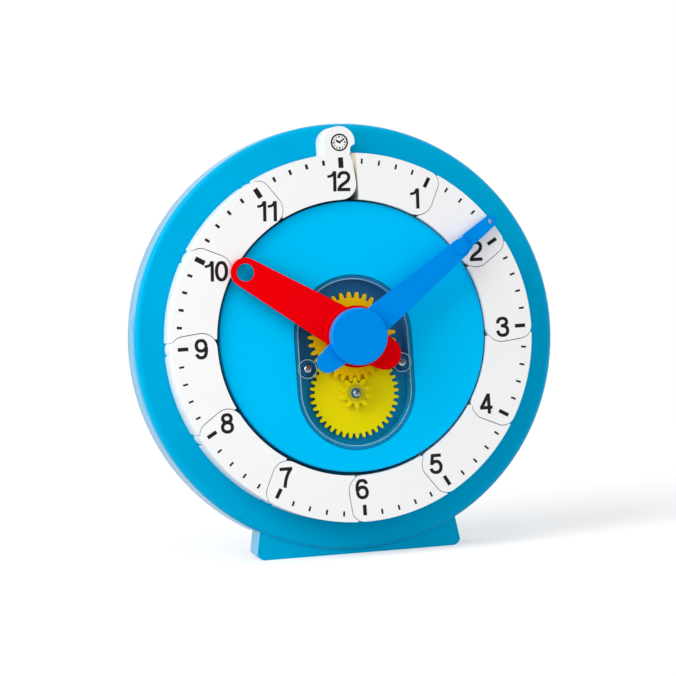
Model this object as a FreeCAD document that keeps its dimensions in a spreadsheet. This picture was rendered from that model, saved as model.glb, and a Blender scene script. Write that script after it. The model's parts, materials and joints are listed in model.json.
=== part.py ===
"""Geared teaching clock: a standing classroom clock with a toothed train behind a clear pane,
two hands that turn together, and a number line of twelve hinged links curled round the dial.

Every piece is drawn flat in the dial's own frame (x to the right, y up the dial, z out of the
dial towards the reader, z = 0 at the back rim) and is then stood on its foot by one placement,
which leans the dial back.  The row origin is the middle of the foot's underside, +Z is up and
the dial looks along -Y.
"""
import FreeCAD
import Part
import math
import os
import re
import Sketcher
from FreeCAD import Placement, Rotation, Vector

# ---------------------------------------------------------------------------------------------
# Driving dimensions: alias, value in millimetres (angles in degrees, teeth as counts), meaning
# ---------------------------------------------------------------------------------------------
SIZES = [
    ("lean_angle", 5.0, "backward lean of the dial"),
    ("drum_radius", 122.1, "outer radius of the casing"),
    ("sole_sink", 0.7, "how much the foot's sole is nearer to the dial axis than the casing's rim"),
    ("drum_wall", 2.5, "side wall of the casing"),
    ("ring_depth", 24.0, "back rim to the face of the outer ring"),
    ("ring_round", 3.5, "rounding of the ring's front edge"),
    ("boss_radius", 76.8, "radius of the raised dial disc"),
    ("boss_depth", 43.5, "back rim to the face of the dial disc"),
    ("boss_round", 1.2, "rounding of the dial disc's edge"),
    ("shell_wall", 2.5, "thickness of the ring and disc faces"),
    ("foot_half_width", 59.8, "half width of the foot on the table"),
    ("foot_flare", 2.6, "how much narrower each end of the foot is where it meets the casing"),
    ("foot_depth", 22.0, "depth of the foot, from the back rim forwards"),
    ("foot_corner", 5.0, "rounding of the foot's lower corners"),
    ("cover_inset", 2.0, "back rim to the outside of the rear cover"),
    ("cover_thick", 2.5, "thickness of the rear cover"),
    ("fixed_gap", 0.3, "assembly gap between fixed pieces that don't touch"),
    ("post_inset", 9.0, "casing's inner wall to the middle of a cover post"),
    ("post_radius", 4.5, "radius of a cover post"),
    ("post_count", 6, "number of cover posts"),
    ("cover_shank", 1.5, "radius of a cover screw's shank"),
    ("cover_head", 3.4, "radius of a cover screw's head"),
    ("cover_head_height", 1.6, "height of a cover screw's head"),
    ("cover_screw_length", 10.0, "length of a cover screw under its head"),
    ("wheel_distance", 32.0, "dial axis to the idler's axis"),
    ("window_half_width", 34.3, "half width of the window in the disc"),
    ("window_rise", 1.0, "dial axis up to the centre of the window's upper end"),
    ("window_lift", 1.9, "idler's axis up to the centre of the window's lower end"),
    ("tray_wall", 2.5, "wall of the gear tray"),
    ("tray_room", 8.5, "depth of the tray, from its floor to the pane"),
    ("tray_floor_thick", 2.0, "thickness of the tray's floor"),
    ("tray_flange", 4.0, "width of the tray's flange behind the disc"),
    ("tray_flange_thick", 2.0, "thickness of the tray's flange"),
    ("pane_recess", 2.2, "dial disc's face down to the seat of the clear pane"),
    ("pane_thick", 1.7, "thickness of the clear pane"),
    ("pane_ring_radius", 5.6, "radius of the ring moulded round the idler's screw"),
    ("pane_ring_height", 0.6, "height of that ring"),
    ("pane_hole", 5.6, "radius of the pane's hole for the hour pipe"),
    ("screw_spread", 27.5, "pane screws: distance from the dial's centre line"),
    ("screw_drop", 16.5, "pane screws: distance below the dial axis"),
    ("screw_boss", 4.2, "radius of the tray's screw bosses"),
    ("screw_shank", 1.3, "radius of a pane screw's shank"),
    ("screw_head", 2.2, "radius of a pane screw's head"),
    ("screw_head_height", 1.5, "height of a pane screw's head"),
    ("screw_length", 8.0, "length of a pane screw under its head"),
    ("minute_teeth", 11, "teeth of the pinion on the minute arbor"),
    ("idler_teeth", 40, "teeth of the idler's wheel"),
    ("relay_teeth", 10, "teeth of the idler's pinion"),
    ("hour_teeth", 33, "teeth of the hour wheel"),
    ("pressure_angle", 20.0, "pressure angle of both gear pairs"),
    ("addendum", 0.95, "tooth height over the pitch circle, in modules"),
    ("dedendum", 1.25, "tooth depth under the pitch circle, in modules"),
    ("profile_shift", 0.36, "shift of the pinions' teeth outwards and the wheels' inwards, in modules"),
    ("backlash", 0.22, "play of a tooth in its gap"),
    ("idler_lift", 1.5, "tray's floor to the idler wheel's back"),
    ("wheel_face", 2.8, "face width of the idler wheel"),
    ("wheel_gap", 0.9, "idler wheel's front to the hour wheel's back"),
    ("hour_face", 2.6, "face width of the hour wheel"),
    ("stack_gap", 0.3, "end play between stacked wheels"),
    ("arbor_radius", 3.0, "radius of the minute arbor"),
    ("arbor_tail", 3.8, "length of the arbor behind the tray's floor"),
    ("running_gap", 0.05, "radial clearance of a turning fit"),
    ("post_axle", 2.9, "radius of the post that the idler turns on"),
    ("pipe_wall", 1.95, "wall of the hour pipe"),
    ("clip_radius", 6.5, "radius of the arbor's retaining clip"),
    ("clip_thick", 0.8, "thickness of the retaining clip"),
    ("hour_angle", 303.5, "hour hand at rest, clockwise from twelve"),
    ("minute_angle", 54.0, "minute hand at rest, clockwise from twelve"),
    ("hour_lift", 2.5, "face of the links to the underside of the hour hand"),
    ("hand_thick", 2.5, "thickness of both hands"),
    ("hour_tip_radius", 8.4, "rounded end of the hour hand"),
    ("hour_root", 12.6, "half width of the hour hand at the dial axis"),
    ("hour_tail", 19.2, "dial axis to the centre of the hour hand's tail"),
    ("hour_tail_radius", 9.3, "rounded end of that tail"),
    ("hour_hole", 5.1, "radius of the hour hand's finger hole"),
    ("hour_collar", 17.6, "radius of the raised collar on the hour hand"),
    ("collar_height", 1.6, "height of that collar"),
    ("collar_wall", 2.0, "width of that collar's rim"),
    ("hour_hub", 9.0, "radius of the hour hand's hub under the blade"),
    ("hub_clearance", 1.2, "height of that hub above the dial disc"),
    ("minute_lift", 2.0, "top of the hour hand to the underside of the minute hand"),
    ("minute_hub", 16.3, "radius of the minute hand's hub"),
    ("hub_height", 7.4, "height of that hub over the hand's underside"),
    ("hub_round", 1.0, "rounding of the minute hub's front edge"),
    ("minute_root", 9.2, "half width of the minute hand at the dial axis"),
    ("knee_distance", 78.3, "dial axis to the minute hand's knee"),
    ("knee_radius", 5.3, "rounded end of the minute hand's high part"),
    ("knee_button", 3.8, "radius of the button on the knee"),
    ("button_height", 0.7, "height of that button"),
    ("pointer_lift", 2.2, "face of the links to the underside of the minute hand's low pointer"),
    ("pointer_root", 4.6, "half width of the pointer where it leaves the knee"),
    ("pointer_tip", 3.5, "rounded end of the pointer"),
    ("minute_tip", 102.4, "dial axis to the hole in the pointer"),
    ("minute_hole", 1.4, "radius of that hole"),
    ("tip_clearance", 0.5, "hour hand's tip to the step in the minute hand, as they pass"),
    ("riser_thick", 1.5, "thickness of the step between blade and pointer"),
    ("minute_tail", 22.6, "dial axis to the centre of the minute hand's tail"),
    ("minute_tail_radius", 6.1, "rounded end of that tail"),
    ("socket_depth", 5.0, "depth of the arbor's socket in the minute hand"),
    ("hour_count", 12, "links in the number line, one for each hour"),
    ("line_clearance", 1.5, "dial disc to the inner edge of the curled number line"),
    ("link_width", 26.3, "inner to outer edge of the number line"),
    ("pivot_inset", 7.0, "outer edge of the number line to a link's pivot"),
    ("chain_drop", 0.4, "how far the number line hangs below the dial axis"),
    ("chain_aside", 0.9, "how far the number line hangs left of the dial axis"),
    ("link_height", 23.0, "ring's face to the face of the links"),
    ("lap_thick", 11.0, "thickness of a link's rounded end, over the next link's tongue"),
    ("link_wall", 1.8, "side wall of a link"),
    ("link_front", 2.0, "face thickness of a link"),
    ("closing_step", 1.6, "depth of the step beside the last link's end, under the face"),
    ("joint_gap", 0.45, "gap between neighbouring links"),
    ("lobe_lean", 6.0, "slant of a link's rounded end from the radius"),
    ("lobe_corner", 8.8, "inner corner radius of a link's rounded end"),
    ("heel_cut", 1.3, "blunt inner corner of a link's hollow end"),
    ("tongue_radius", 6.8, "radius of the tongue under the rounded end"),
    ("unroll_angle", 30.0, "how far each link opens"),
    ("swing_spare", 2.0, "how much further a link could open before its ends meet"),
    ("pin_radius", 3.0, "radius of a link's hinge pin"),
    ("pin_head", 3.5, "radius of the snap head on a hinge pin"),
    ("pin_head_height", 1.5, "height of that snap head"),
    ("pin_boss", 1.6, "wall round a hinge pin's hole"),
    ("tab_radius", 8.8, "radius of the pull tab on the last link"),
    ("tab_reach", 6.5, "outer edge of the number line to the centre of the pull tab"),
    ("tab_neck", 3.0, "radius of the finger notch beside the tab"),
]

# Sizes that follow from the driving ones, each as an expression on them
DERIVED = {
    "axis_height": "drum_radius - sole_sink",
    "foot_top": "sqrt(drum_radius ^ 2 - foot_half_width ^ 2)",
    "post_circle": "drum_radius - drum_wall - post_inset",
    "pane_seat": "boss_depth - pane_recess",
    "tray_floor_level": "pane_seat - tray_room",
    "idler_level": "tray_floor_level + idler_lift",
    "hour_level": "idler_level + wheel_face + wheel_gap",
    "link_top": "ring_depth + link_height",
    "link_lap": "link_top - lap_thick",
    "hour_blade_level": "link_top + hour_lift",
    "minute_blade_level": "hour_blade_level + hand_thick + minute_lift",
    "minute_hub_top": "minute_blade_level + hub_height",
    "pointer_level": "link_top + pointer_lift",
    "link_inner": "boss_radius + line_clearance",
    "link_outer": "link_inner + link_width",
    "pivot_radius": "link_outer - pivot_inset",
    "tab_distance": "link_outer + tab_reach",
}

doc = FreeCAD.newDocument("teaching_clock")
sheet = doc.addObject("Spreadsheet::Sheet", "sizes")
for row, (alias, value, meaning) in enumerate(SIZES, start=1):
    sheet.set(f"A{row}", meaning)
    sheet.set(f"B{row}", str(value))
    sheet.setAlias(f"B{row}", alias)
doc.recompute()
ALIASES = {alias for alias, _, _ in SIZES}


def bound(text):
    """An expression on sizes, written out in driving ones for the expression engine."""
    def swap(word):
        name = word.group()
        if name in DERIVED:
            return f"({bound(DERIVED[name])})"
        return "sizes." + name if name in ALIASES else name
    return re.sub(r"[a-z_]+", swap, text)


def worth(text):
    """The number that an expression on sizes stands for."""
    result = sheet.evalExpression(bound(text))
    return float(getattr(result, "Value", result))


def size(name):
    """A driving or derived size as a number."""
    return worth(name)


def count(name):
    """A driving size that is a whole number, such as a count of teeth."""
    return int(round(size(name)))


# ---------------------------------------------------------------------------------------------
# Where the dial stands: one placement for every piece
# ---------------------------------------------------------------------------------------------
LEAN = math.radians(size("lean_angle"))


def table_line(depth):
    """Dial-frame y of the table at a distance z from the back rim."""
    return -(size("axis_height") + depth * math.sin(LEAN)) / math.cos(LEAN)


def world_y(y, z):
    """Row-frame Y of a dial-frame point, before the origin is set."""
    return y * math.sin(LEAN) - z * math.cos(LEAN)


FOOT_BACK = world_y(table_line(0), 0)
FOOT_FRONT = world_y(table_line(size("foot_depth")), size("foot_depth"))
STAND = Placement(Vector(0, -(FOOT_BACK + FOOT_FRONT) / 2, size("axis_height")),
                  Rotation(Vector(1, 0, 0), 90 - size("lean_angle")))
NODES = []


def stand(piece, label):
    """Names a finished piece and stands it where it belongs."""
    piece.Label = label
    piece.Placement = STAND
    NODES.append(piece)
    return piece


# ---------------------------------------------------------------------------------------------
# Part-design helpers
# ---------------------------------------------------------------------------------------------
def new_body(name):
    return doc.addObject("PartDesign::Body", name + "_body")


def plane_of(body, role):
    return next(item for item in body.Origin.OriginFeatures if item.Role == role)


def new_sketch(body, name, role, level="0"):
    """A sketch on one of the body's own planes, raised by an expression on aliases."""
    sketch = body.newObject("Sketcher::SketchObject", name)
    sketch.AttachmentSupport = [(plane_of(body, role), "")]
    sketch.MapMode = "FlatFace"
    sketch.setExpression("AttachmentOffset.Base.z", bound(level))
    return sketch


def pin_point(sketch, geometry, end, x_text, y_text, tag):
    """Ties a point of a sketch to the sheet by its two coordinates."""
    for kind, text in (("DistanceX", x_text), ("DistanceY", y_text)):
        value = worth(text)
        if abs(value) < 1e-9:
            axis = -2 if kind == "DistanceX" else -1
            sketch.addConstraint(Sketcher.Constraint("PointOnObject", geometry, end, axis))
            continue
        ends = (-1, 1, geometry, end) if value > 0 else (geometry, end, -1, 1)
        index = sketch.addConstraint(Sketcher.Constraint(kind, *ends, abs(value)))
        label = f"{tag}_{kind[-1].lower()}"
        sketch.renameConstraint(index, label)
        sign = "" if value > 0 else "-1 * "
        sketch.setExpression("Constraints." + label, f"{sign}({bound(text)})")


def closed_outline(sketch, corners):
    """A closed run of straight lines; each corner is a pair of expressions."""
    points = [Vector(worth(x), worth(y), 0) for x, y in corners]
    total = len(points)
    for index in range(total):
        sketch.addGeometry(Part.LineSegment(points[index], points[(index + 1) % total]))
    for index in range(total):
        sketch.addConstraint(Sketcher.Constraint("Coincident", index, 2, (index + 1) % total, 1))
        pin_point(sketch, index, 1, *corners[index], f"corner_{index}")


def circle_at(sketch, x_text, y_text, radius_text, tag):
    """One circle tied to the sheet."""
    centre = Vector(worth(x_text), worth(y_text), 0)
    index = sketch.addGeometry(Part.Circle(centre, Vector(0, 0, 1), worth(radius_text)))
    pin_point(sketch, index, 3, x_text, y_text, tag)
    radius = sketch.addConstraint(Sketcher.Constraint("Radius", index, worth(radius_text)))
    sketch.renameConstraint(radius, tag + "_radius")
    sketch.setExpression(f"Constraints.{tag}_radius", bound(radius_text))


def upright_slot(sketch, half_width_text):
    """The window's outline: a slot whose round ends lie a little above the two gear axes."""
    reach = worth(half_width_text)
    up = Vector(0, worth("window_rise"), 0)
    low = Vector(0, worth("window_lift - wheel_distance"), 0)
    side = Vector(reach, 0, 0)
    normal = Vector(0, 0, 1)
    sketch.addGeometry(Part.ArcOfCircle(Part.Circle(up, normal, reach), 0, math.pi))
    sketch.addGeometry(Part.LineSegment(up - side, low - side))
    sketch.addGeometry(Part.ArcOfCircle(Part.Circle(low, normal, reach), math.pi, 2 * math.pi))
    sketch.addGeometry(Part.LineSegment(low + side, up + side))
    for first, first_end, second, second_end in ((0, 2, 1, 1), (1, 2, 2, 1), (2, 2, 3, 1), (3, 2, 0, 1)):
        sketch.addConstraint(Sketcher.Constraint("Tangent", first, first_end, second, second_end))
    pin_point(sketch, 0, 3, "0", "window_rise", "high_end")
    pin_point(sketch, 2, 3, "0", "window_lift - wheel_distance", "low_end")
    radius = sketch.addConstraint(Sketcher.Constraint("Radius", 0, reach))
    sketch.renameConstraint(radius, "reach")
    sketch.setExpression("Constraints.reach", bound(half_width_text))


def revolve(body, name, sketch):
    """Turns a sketch on the XZ plane about the dial axis."""
    turned = body.newObject("PartDesign::Revolution", name)
    turned.Profile = sketch
    turned.ReferenceAxis = (sketch, ["V_Axis"])
    turned.Angle = 360
    doc.recompute()
    return turned


def pad(body, name, sketch, length_text, both_ways=False):
    """Raises a sketch along its normal."""
    raised = body.newObject("PartDesign::Pad", name)
    raised.Profile = sketch
    raised.setExpression("Length", bound(length_text))
    raised.Midplane = both_ways
    doc.recompute()
    return raised


def pocket(body, name, sketch, length_text, both_ways=False):
    """Cuts a sketch forwards, along its normal, and makes sure that it cut."""
    before = body.Shape.Volume
    cut = body.newObject("PartDesign::Pocket", name)
    cut.Profile = sketch
    cut.Reversed = True
    cut.Midplane = both_ways
    cut.setExpression("Length", bound(length_text))
    doc.recompute()
    if not body.Shape.Volume < before - 1e-6:
        raise RuntimeError(f"{name} removes nothing")
    return cut


def repeat_round(body, name, features, count_text):
    """Repeats features evenly round the dial axis."""
    ring = body.newObject("PartDesign::PolarPattern", name)
    ring.Originals = features
    ring.Axis = (plane_of(body, "Z_Axis"), [""])
    ring.Angle = 360
    ring.setExpression("Occurrences", bound(count_text))
    body.Tip = ring
    doc.recompute()
    return ring


def round_edges(body, name, radius_text, wanted):
    """Rounds each edge of the body that the test picks."""
    edges = [f"Edge{number}" for number, edge in enumerate(body.Tip.Shape.Edges, start=1) if wanted(edge)]
    if not edges:
        raise RuntimeError(f"{name} finds no edge")
    rounded = body.newObject("PartDesign::Fillet", name)
    rounded.Base = (body.Tip if body.Tip != rounded else rounded.BaseFeature, edges)
    rounded.setExpression("Radius", bound(radius_text))
    body.Tip = rounded
    doc.recompute()
    return rounded


def ring_edge(radius, level):
    """Picks the circular edge of a radius at a level, centred on the dial axis."""
    def test(edge):
        curve = edge.Curve
        return (isinstance(curve, Part.Circle) and abs(curve.Radius - radius) < 1e-4
                and abs(curve.Center.z - level) < 1e-4 and math.hypot(curve.Center.x, curve.Center.y) < 1e-4)
    return test


# ---------------------------------------------------------------------------------------------
# Flat outlines for pieces whose shape is worked out
# ---------------------------------------------------------------------------------------------
def at(x, y, z=0.0):
    return Vector(x, y, z)


def polar(radius, clockwise, centre=None):
    """A point at a radius and a clockwise angle from twelve o'clock, in degrees."""
    turn = math.radians(clockwise)
    return (centre or Vector()) + Vector(radius * math.sin(turn), radius * math.cos(turn), 0)


def arc(start, middle, end):
    return Part.Arc(start, middle, end).toShape()


def line(start, end):
    return Part.LineSegment(start, end).toShape()


def raised(edges, bottom, top):
    """A closed run of edges, extruded from one depth to another."""
    face = Part.Face(Part.Wire(edges))
    solid = face.extrude(Vector(0, 0, top - bottom))
    solid.translate(Vector(0, 0, bottom))
    return solid


def disc(radius, bottom, top, centre=None):
    middle = centre or Vector()
    return Part.makeCylinder(radius, top - bottom, Vector(middle.x, middle.y, bottom))


def bar(first, first_radius, second, second_radius, bottom, top):
    """A plate round two circles on the dial's vertical line: the second centre is above the first."""
    span = second.y - first.y
    slope = math.asin((first_radius - second_radius) / span)
    right = Vector(math.cos(slope), math.sin(slope), 0)
    left = Vector(-right.x, right.y, 0)
    down, up = Vector(0, -first_radius, 0), Vector(0, second_radius, 0)
    edges = [line(first + right * first_radius, second + right * second_radius),
             arc(second + right * second_radius, second + up, second + left * second_radius),
             line(second + left * second_radius, first + left * first_radius),
             arc(first + left * first_radius, first + down, first + right * first_radius)]
    return raised(edges, bottom, top)


def turned_by(shape, clockwise):
    """A copy turned clockwise about the dial axis."""
    copy = shape.copy()
    copy.rotate(Vector(), Vector(0, 0, 1), -clockwise)
    return copy


def feature(name, shape):
    piece = doc.addObject("Part::Feature", name)
    piece.Shape = shape.removeSplitter()
    return stand(piece, name)


# ---------------------------------------------------------------------------------------------
# Casing: front shell with ring, dial disc, cover posts and foot
# ---------------------------------------------------------------------------------------------
def make_front_shell():
    body = new_body("front_shell")
    profile = new_sketch(body, "shell_profile", "XZ_Plane")
    closed_outline(profile, [
        ("drum_radius - drum_wall", "0"),
        ("drum_radius", "0"),
        ("drum_radius", "ring_depth"),
        ("boss_radius", "ring_depth"),
        ("boss_radius", "boss_depth"),
        ("0", "boss_depth"),
        ("0", "boss_depth - shell_wall"),
        ("boss_radius - shell_wall", "boss_depth - shell_wall"),
        ("boss_radius - shell_wall", "ring_depth - shell_wall"),
        ("drum_radius - drum_wall", "ring_depth - shell_wall"),
    ])
    revolve(body, "shell", profile)
    round_edges(body, "ring_rounding", "ring_round", ring_edge(size("drum_radius"), size("ring_depth")))
    round_edges(body, "disc_rounding", "boss_round", ring_edge(size("boss_radius"), size("boss_depth")))
    slope = "tan(lean_angle * 1 deg)"
    sole = "axis_height / cos(lean_angle * 1 deg)"
    sunk = new_sketch(body, "under_sole", "YZ_Plane")
    closed_outline(sunk, [
        (f"0 - ({sole})", "0"),
        ("0 - drum_radius - sole_sink", "0"),
        (f"0 - ({sole}) - foot_depth * {slope} - sole_sink", "foot_depth"),
        (f"0 - ({sole}) - foot_depth * {slope}", "foot_depth"),
    ])
    pocket(body, "flat_underside", sunk, "2 * drum_radius", both_ways=True)
    foot_side = new_sketch(body, "foot_side", "YZ_Plane")
    closed_outline(foot_side, [
        ("0 - foot_top", "0"),
        (f"0 - ({sole})", "0"),
        (f"0 - ({sole}) - foot_depth * {slope}", "foot_depth"),
        ("0 - foot_top", "foot_depth"),
    ])
    pad(body, "foot", foot_side, "2 * foot_half_width", both_ways=True)
    round_edges(body, "foot_corners", "foot_corner", foot_corner_edge)
    for side, sign in (("right", ""), ("left", "0 - ")):
        flare = new_sketch(body, f"flare_{side}", "XY_Plane")
        closed_outline(flare, [
            (f"{sign}(foot_half_width)", f"0 - ({sole})"),
            (f"{sign}(foot_half_width + foot_flare)", f"0 - ({sole})"),
            (f"{sign}(foot_half_width + foot_flare)", "0 - foot_top"),
            (f"{sign}(foot_half_width - foot_flare)", "0 - foot_top"),
        ])
        pocket(body, f"flare_cut_{side}", flare, "foot_depth")
    inside = new_sketch(body, "drum_inside", "XY_Plane")
    circle_at(inside, "0", "0", "drum_radius - drum_wall", "inside")
    pocket(body, "drum_cavity", inside, "ring_depth - shell_wall")
    opening = new_sketch(body, "window_outline", "XY_Plane", "boss_depth - shell_wall")
    upright_slot(opening, "window_half_width")
    pocket(body, "window", opening, "shell_wall")
    post = new_sketch(body, "post_outline", "XY_Plane", "cover_inset + cover_thick")
    circle_at(post, "0", "post_circle", "post_radius", "post")
    posts = pad(body, "post", post, "ring_depth - shell_wall - cover_inset - cover_thick")
    bore = new_sketch(body, "post_bore", "XY_Plane", "cover_inset + cover_thick")
    circle_at(bore, "0", "post_circle", "cover_shank", "bore")
    bores = pocket(body, "post_hole", bore, "cover_screw_length")
    repeat_round(body, "posts", [posts, bores], "post_count")
    return stand(body, "front_shell")


def foot_corner_edge(edge):
    """Picks the two lower corners of the foot, which run from back to front."""
    box = edge.BoundBox
    low = box.YMax < table_line(0) + 1e-3
    across = abs(abs(box.Center.x) - size("foot_half_width")) < 1e-3 and box.XLength < 1e-3
    return low and across and box.ZLength > size("foot_depth") - 1e-3


def make_rear_cover():
    body = new_body("rear_cover")
    outline = new_sketch(body, "cover_outline", "XY_Plane", "cover_inset")
    circle_at(outline, "0", "0", "drum_radius - drum_wall - fixed_gap", "outline")
    pad(body, "plate", outline, "cover_thick")
    rib = new_sketch(body, "rib_outline", "XZ_Plane")
    closed_outline(rib, [
        ("boss_radius - shell_wall", "cover_inset + cover_thick"),
        ("boss_radius", "cover_inset + cover_thick"),
        ("boss_radius", "cover_inset + 2 * cover_thick"),
        ("boss_radius - shell_wall", "cover_inset + 2 * cover_thick"),
    ])
    revolve(body, "stiffening_rib", rib)
    hole = new_sketch(body, "screw_hole", "XY_Plane", "cover_inset")
    circle_at(hole, "0", "post_circle", "cover_shank", "hole")
    holes = pocket(body, "clear_hole", hole, "cover_thick")
    repeat_round(body, "screw_holes", [holes], "post_count")
    return stand(body, "rear_cover")


def pan_screw(shank, head, head_height, length, face, outwards):
    """A pan-head screw on the z axis: its head stands on the face, its shank goes into it."""
    dome = head_height * 0.45
    profile = [(0, -length), (shank, -length), (shank, 0), (head, 0), (head, dome)]
    points = [Vector(x, 0, z) for x, z in profile]
    crown = Vector(0, 0, head_height)
    shoulder = Vector(head * 0.72, 0, dome + (head_height - dome) * 0.78)
    edges = [line(points[i], points[i + 1]) for i in range(len(points) - 1)]
    edges += [arc(points[-1], shoulder, crown), line(crown, points[0])]
    solid = Part.Face(Part.Wire(edges)).revolve(Vector(), Vector(0, 0, 1), 360)
    slot = Part.makeBox(head * 1.1, head * 0.28, head_height, Vector(-head * 0.55, -head * 0.14, dome))
    cross = slot.fuse(slot.rotated(Vector(), Vector(0, 0, 1), 90))
    solid = solid.cut(cross)
    if not outwards:
        solid.rotate(Vector(), Vector(1, 0, 0), 180)
    solid.translate(Vector(0, 0, face))
    return solid


def make_cover_screws():
    screw = pan_screw(size("cover_shank"), size("cover_head"), size("cover_head_height"),
                      size("cover_screw_length"), size("cover_inset"), outwards=False)
    screw.translate(Vector(0, size("post_circle"), 0))
    total = count("post_count")
    ring = [turned_by(screw, 360 * number / total) for number in range(total)]
    return feature("cover_screws", Part.makeCompound(ring))


# ---------------------------------------------------------------------------------------------
# Gear window: tray, pane and their screws
# ---------------------------------------------------------------------------------------------
SCREW_SPOTS = [("0 - screw_spread", "0 - screw_drop"), ("screw_spread", "0 - screw_drop"),
               ("0", "0 - wheel_distance")]


def make_gear_tray():
    body = new_body("gear_tray")
    outer = "window_half_width - fixed_gap"
    floor_back = "tray_floor_level - tray_floor_thick"
    shell = new_sketch(body, "tray_outline", "XY_Plane", floor_back)
    upright_slot(shell, outer)
    pad(body, "block", shell, f"pane_seat - ({floor_back})")
    flange = new_sketch(body, "flange_outline", "XY_Plane", "boss_depth - shell_wall - tray_flange_thick")
    upright_slot(flange, "window_half_width + tray_flange")
    pad(body, "flange", flange, "tray_flange_thick")
    well = new_sketch(body, "well_outline", "XY_Plane", "tray_floor_level")
    upright_slot(well, f"{outer} - tray_wall")
    pocket(body, "well", well, "pane_seat - tray_floor_level")
    for side, (x_text, y_text) in zip(("left", "right"), SCREW_SPOTS):
        boss = new_sketch(body, f"boss_{side}", "XY_Plane", "tray_floor_level")
        circle_at(boss, x_text, y_text, "screw_boss", "boss")
        pad(body, f"screw_boss_{side}", boss, "pane_seat - tray_floor_level")
    collar = new_sketch(body, "axle_collar", "XY_Plane", "tray_floor_level")
    circle_at(collar, "0", "0 - wheel_distance", "post_axle + tray_wall", "collar")
    pad(body, "thrust_collar", collar, "idler_level - stack_gap - tray_floor_level")
    axle = new_sketch(body, "axle_outline", "XY_Plane", "tray_floor_level")
    circle_at(axle, "0", "0 - wheel_distance", "post_axle", "axle")
    pad(body, "idler_axle", axle, "pane_seat - tray_floor_level")
    bearing = new_sketch(body, "bearing_outline", "XY_Plane", "tray_floor_level - tray_floor_thick")
    circle_at(bearing, "0", "0", "arbor_radius + tray_wall", "bearing")
    pad(body, "arbor_bearing", bearing, "idler_level - stack_gap - tray_floor_level + tray_floor_thick")
    bore = new_sketch(body, "bearing_bore", "XY_Plane", "tray_floor_level - tray_floor_thick")
    circle_at(bore, "0", "0", "arbor_radius + running_gap", "bore")
    pocket(body, "arbor_hole", bore, "tray_wall + tray_floor_thick")
    for number, (x_text, y_text) in enumerate(SCREW_SPOTS):
        hole = new_sketch(body, f"screw_hole_{number}", "XY_Plane", "pane_seat + pane_thick - screw_length")
        circle_at(hole, x_text, y_text, "screw_shank", "hole")
        pocket(body, f"screw_bore_{number}", hole, "screw_length")
    return stand(body, "gear_tray")


def make_window_pane():
    body = new_body("window_pane")
    outline = new_sketch(body, "pane_outline", "XY_Plane", "pane_seat")
    upright_slot(outline, "window_half_width - fixed_gap")
    pad(body, "pane", outline, "pane_thick")
    ring = new_sketch(body, "ring_outline", "XY_Plane", "pane_seat + pane_thick")
    circle_at(ring, "0", "0 - wheel_distance", "pane_ring_radius", "ring")
    pad(body, "screw_ring", ring, "pane_ring_height")
    well = new_sketch(body, "ring_inside", "XY_Plane", "pane_seat + pane_thick")
    circle_at(well, "0", "0 - wheel_distance", "pane_ring_radius - 2 * pane_ring_height", "well")
    pocket(body, "ring_well", well, "pane_ring_height")
    hole = new_sketch(body, "pipe_hole", "XY_Plane", "pane_seat")
    circle_at(hole, "0", "0", "pane_hole", "hole")
    pocket(body, "pipe_clearance", hole, "pane_thick")
    for number, (x_text, y_text) in enumerate(SCREW_SPOTS):
        spot = new_sketch(body, f"pane_screw_{number}", "XY_Plane", "pane_seat")
        circle_at(spot, x_text, y_text, "screw_shank", "spot")
        pocket(body, f"pane_screw_hole_{number}", spot, "pane_thick")
    return stand(body, "window_pane")


def make_pane_screws():
    screw = pan_screw(size("screw_shank"), size("screw_head"), size("screw_head_height"),
                      size("screw_length"), size("pane_seat") + size("pane_thick"), outwards=True)
    places = [screw.translated(Vector(worth(x), worth(y), 0)) for x, y in SCREW_SPOTS]
    return feature("pane_screws", Part.makeCompound(places))


# ---------------------------------------------------------------------------------------------
# Gear train
# ---------------------------------------------------------------------------------------------
def gear(teeth, module, shift, bottom, top):
    """A spur wheel on the z axis, with a gap between two teeth straight down the dial."""
    pitch = module * teeth / 2
    base = pitch * math.cos(math.radians(size("pressure_angle")))
    tip = pitch + module * (size("addendum") + shift)
    root = pitch - module * (size("dedendum") - shift)
    tangent = math.tan(math.radians(size("pressure_angle")))
    involute_at_pitch = tangent - math.radians(size("pressure_angle"))
    half_tooth = (math.pi / 2 + 2 * shift * tangent) / teeth - size("backlash") / (4 * pitch)

    def half_width(radius):
        """Half the angle of a tooth at a radius; under the base circle the flank is radial."""
        lift = math.sqrt(max((radius / base) ** 2 - 1, 0))
        return half_tooth + involute_at_pitch - (lift - math.atan(lift))

    flank_foot = max(base, root)
    heights = [flank_foot, (flank_foot + tip) / 2, tip]
    first = 180.0 + 180.0 / teeth
    edges = []
    for tooth in range(teeth):
        middle = first + 360.0 * tooth / teeth
        rising = [polar(r, middle - math.degrees(half_width(r))) for r in heights]
        falling = [polar(r, middle + math.degrees(half_width(r))) for r in reversed(heights)]
        foot_angle = math.degrees(half_width(flank_foot))
        next_middle = middle + 360.0 / teeth
        root_start, root_end = middle + foot_angle, next_middle - foot_angle
        if root < base:
            edges.append(line(polar(root, middle - foot_angle), rising[0]))
        edges.append(arc(*rising))
        edges.append(arc(rising[-1], polar(tip, middle), falling[0]))
        edges.append(arc(*falling))
        if root < base:
            edges.append(line(falling[-1], polar(root, root_start)))
        edges.append(arc(polar(root, root_start), polar(root, (root_start + root_end) / 2),
                         polar(root, root_end)))
    return raised(edges, bottom, top)


def pair_module(driver, follower):
    """The module that puts a pair of wheels at the distance between the two axes."""
    return 2 * size("wheel_distance") / (count(driver) + count(follower))


FIRST_MODULE = pair_module("minute_teeth", "idler_teeth")
SECOND_MODULE = pair_module("relay_teeth", "hour_teeth")


def half_tooth(teeth):
    """The turn that puts a tooth of a wheel where it had a gap."""
    return 180.0 / count(teeth)


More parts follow.
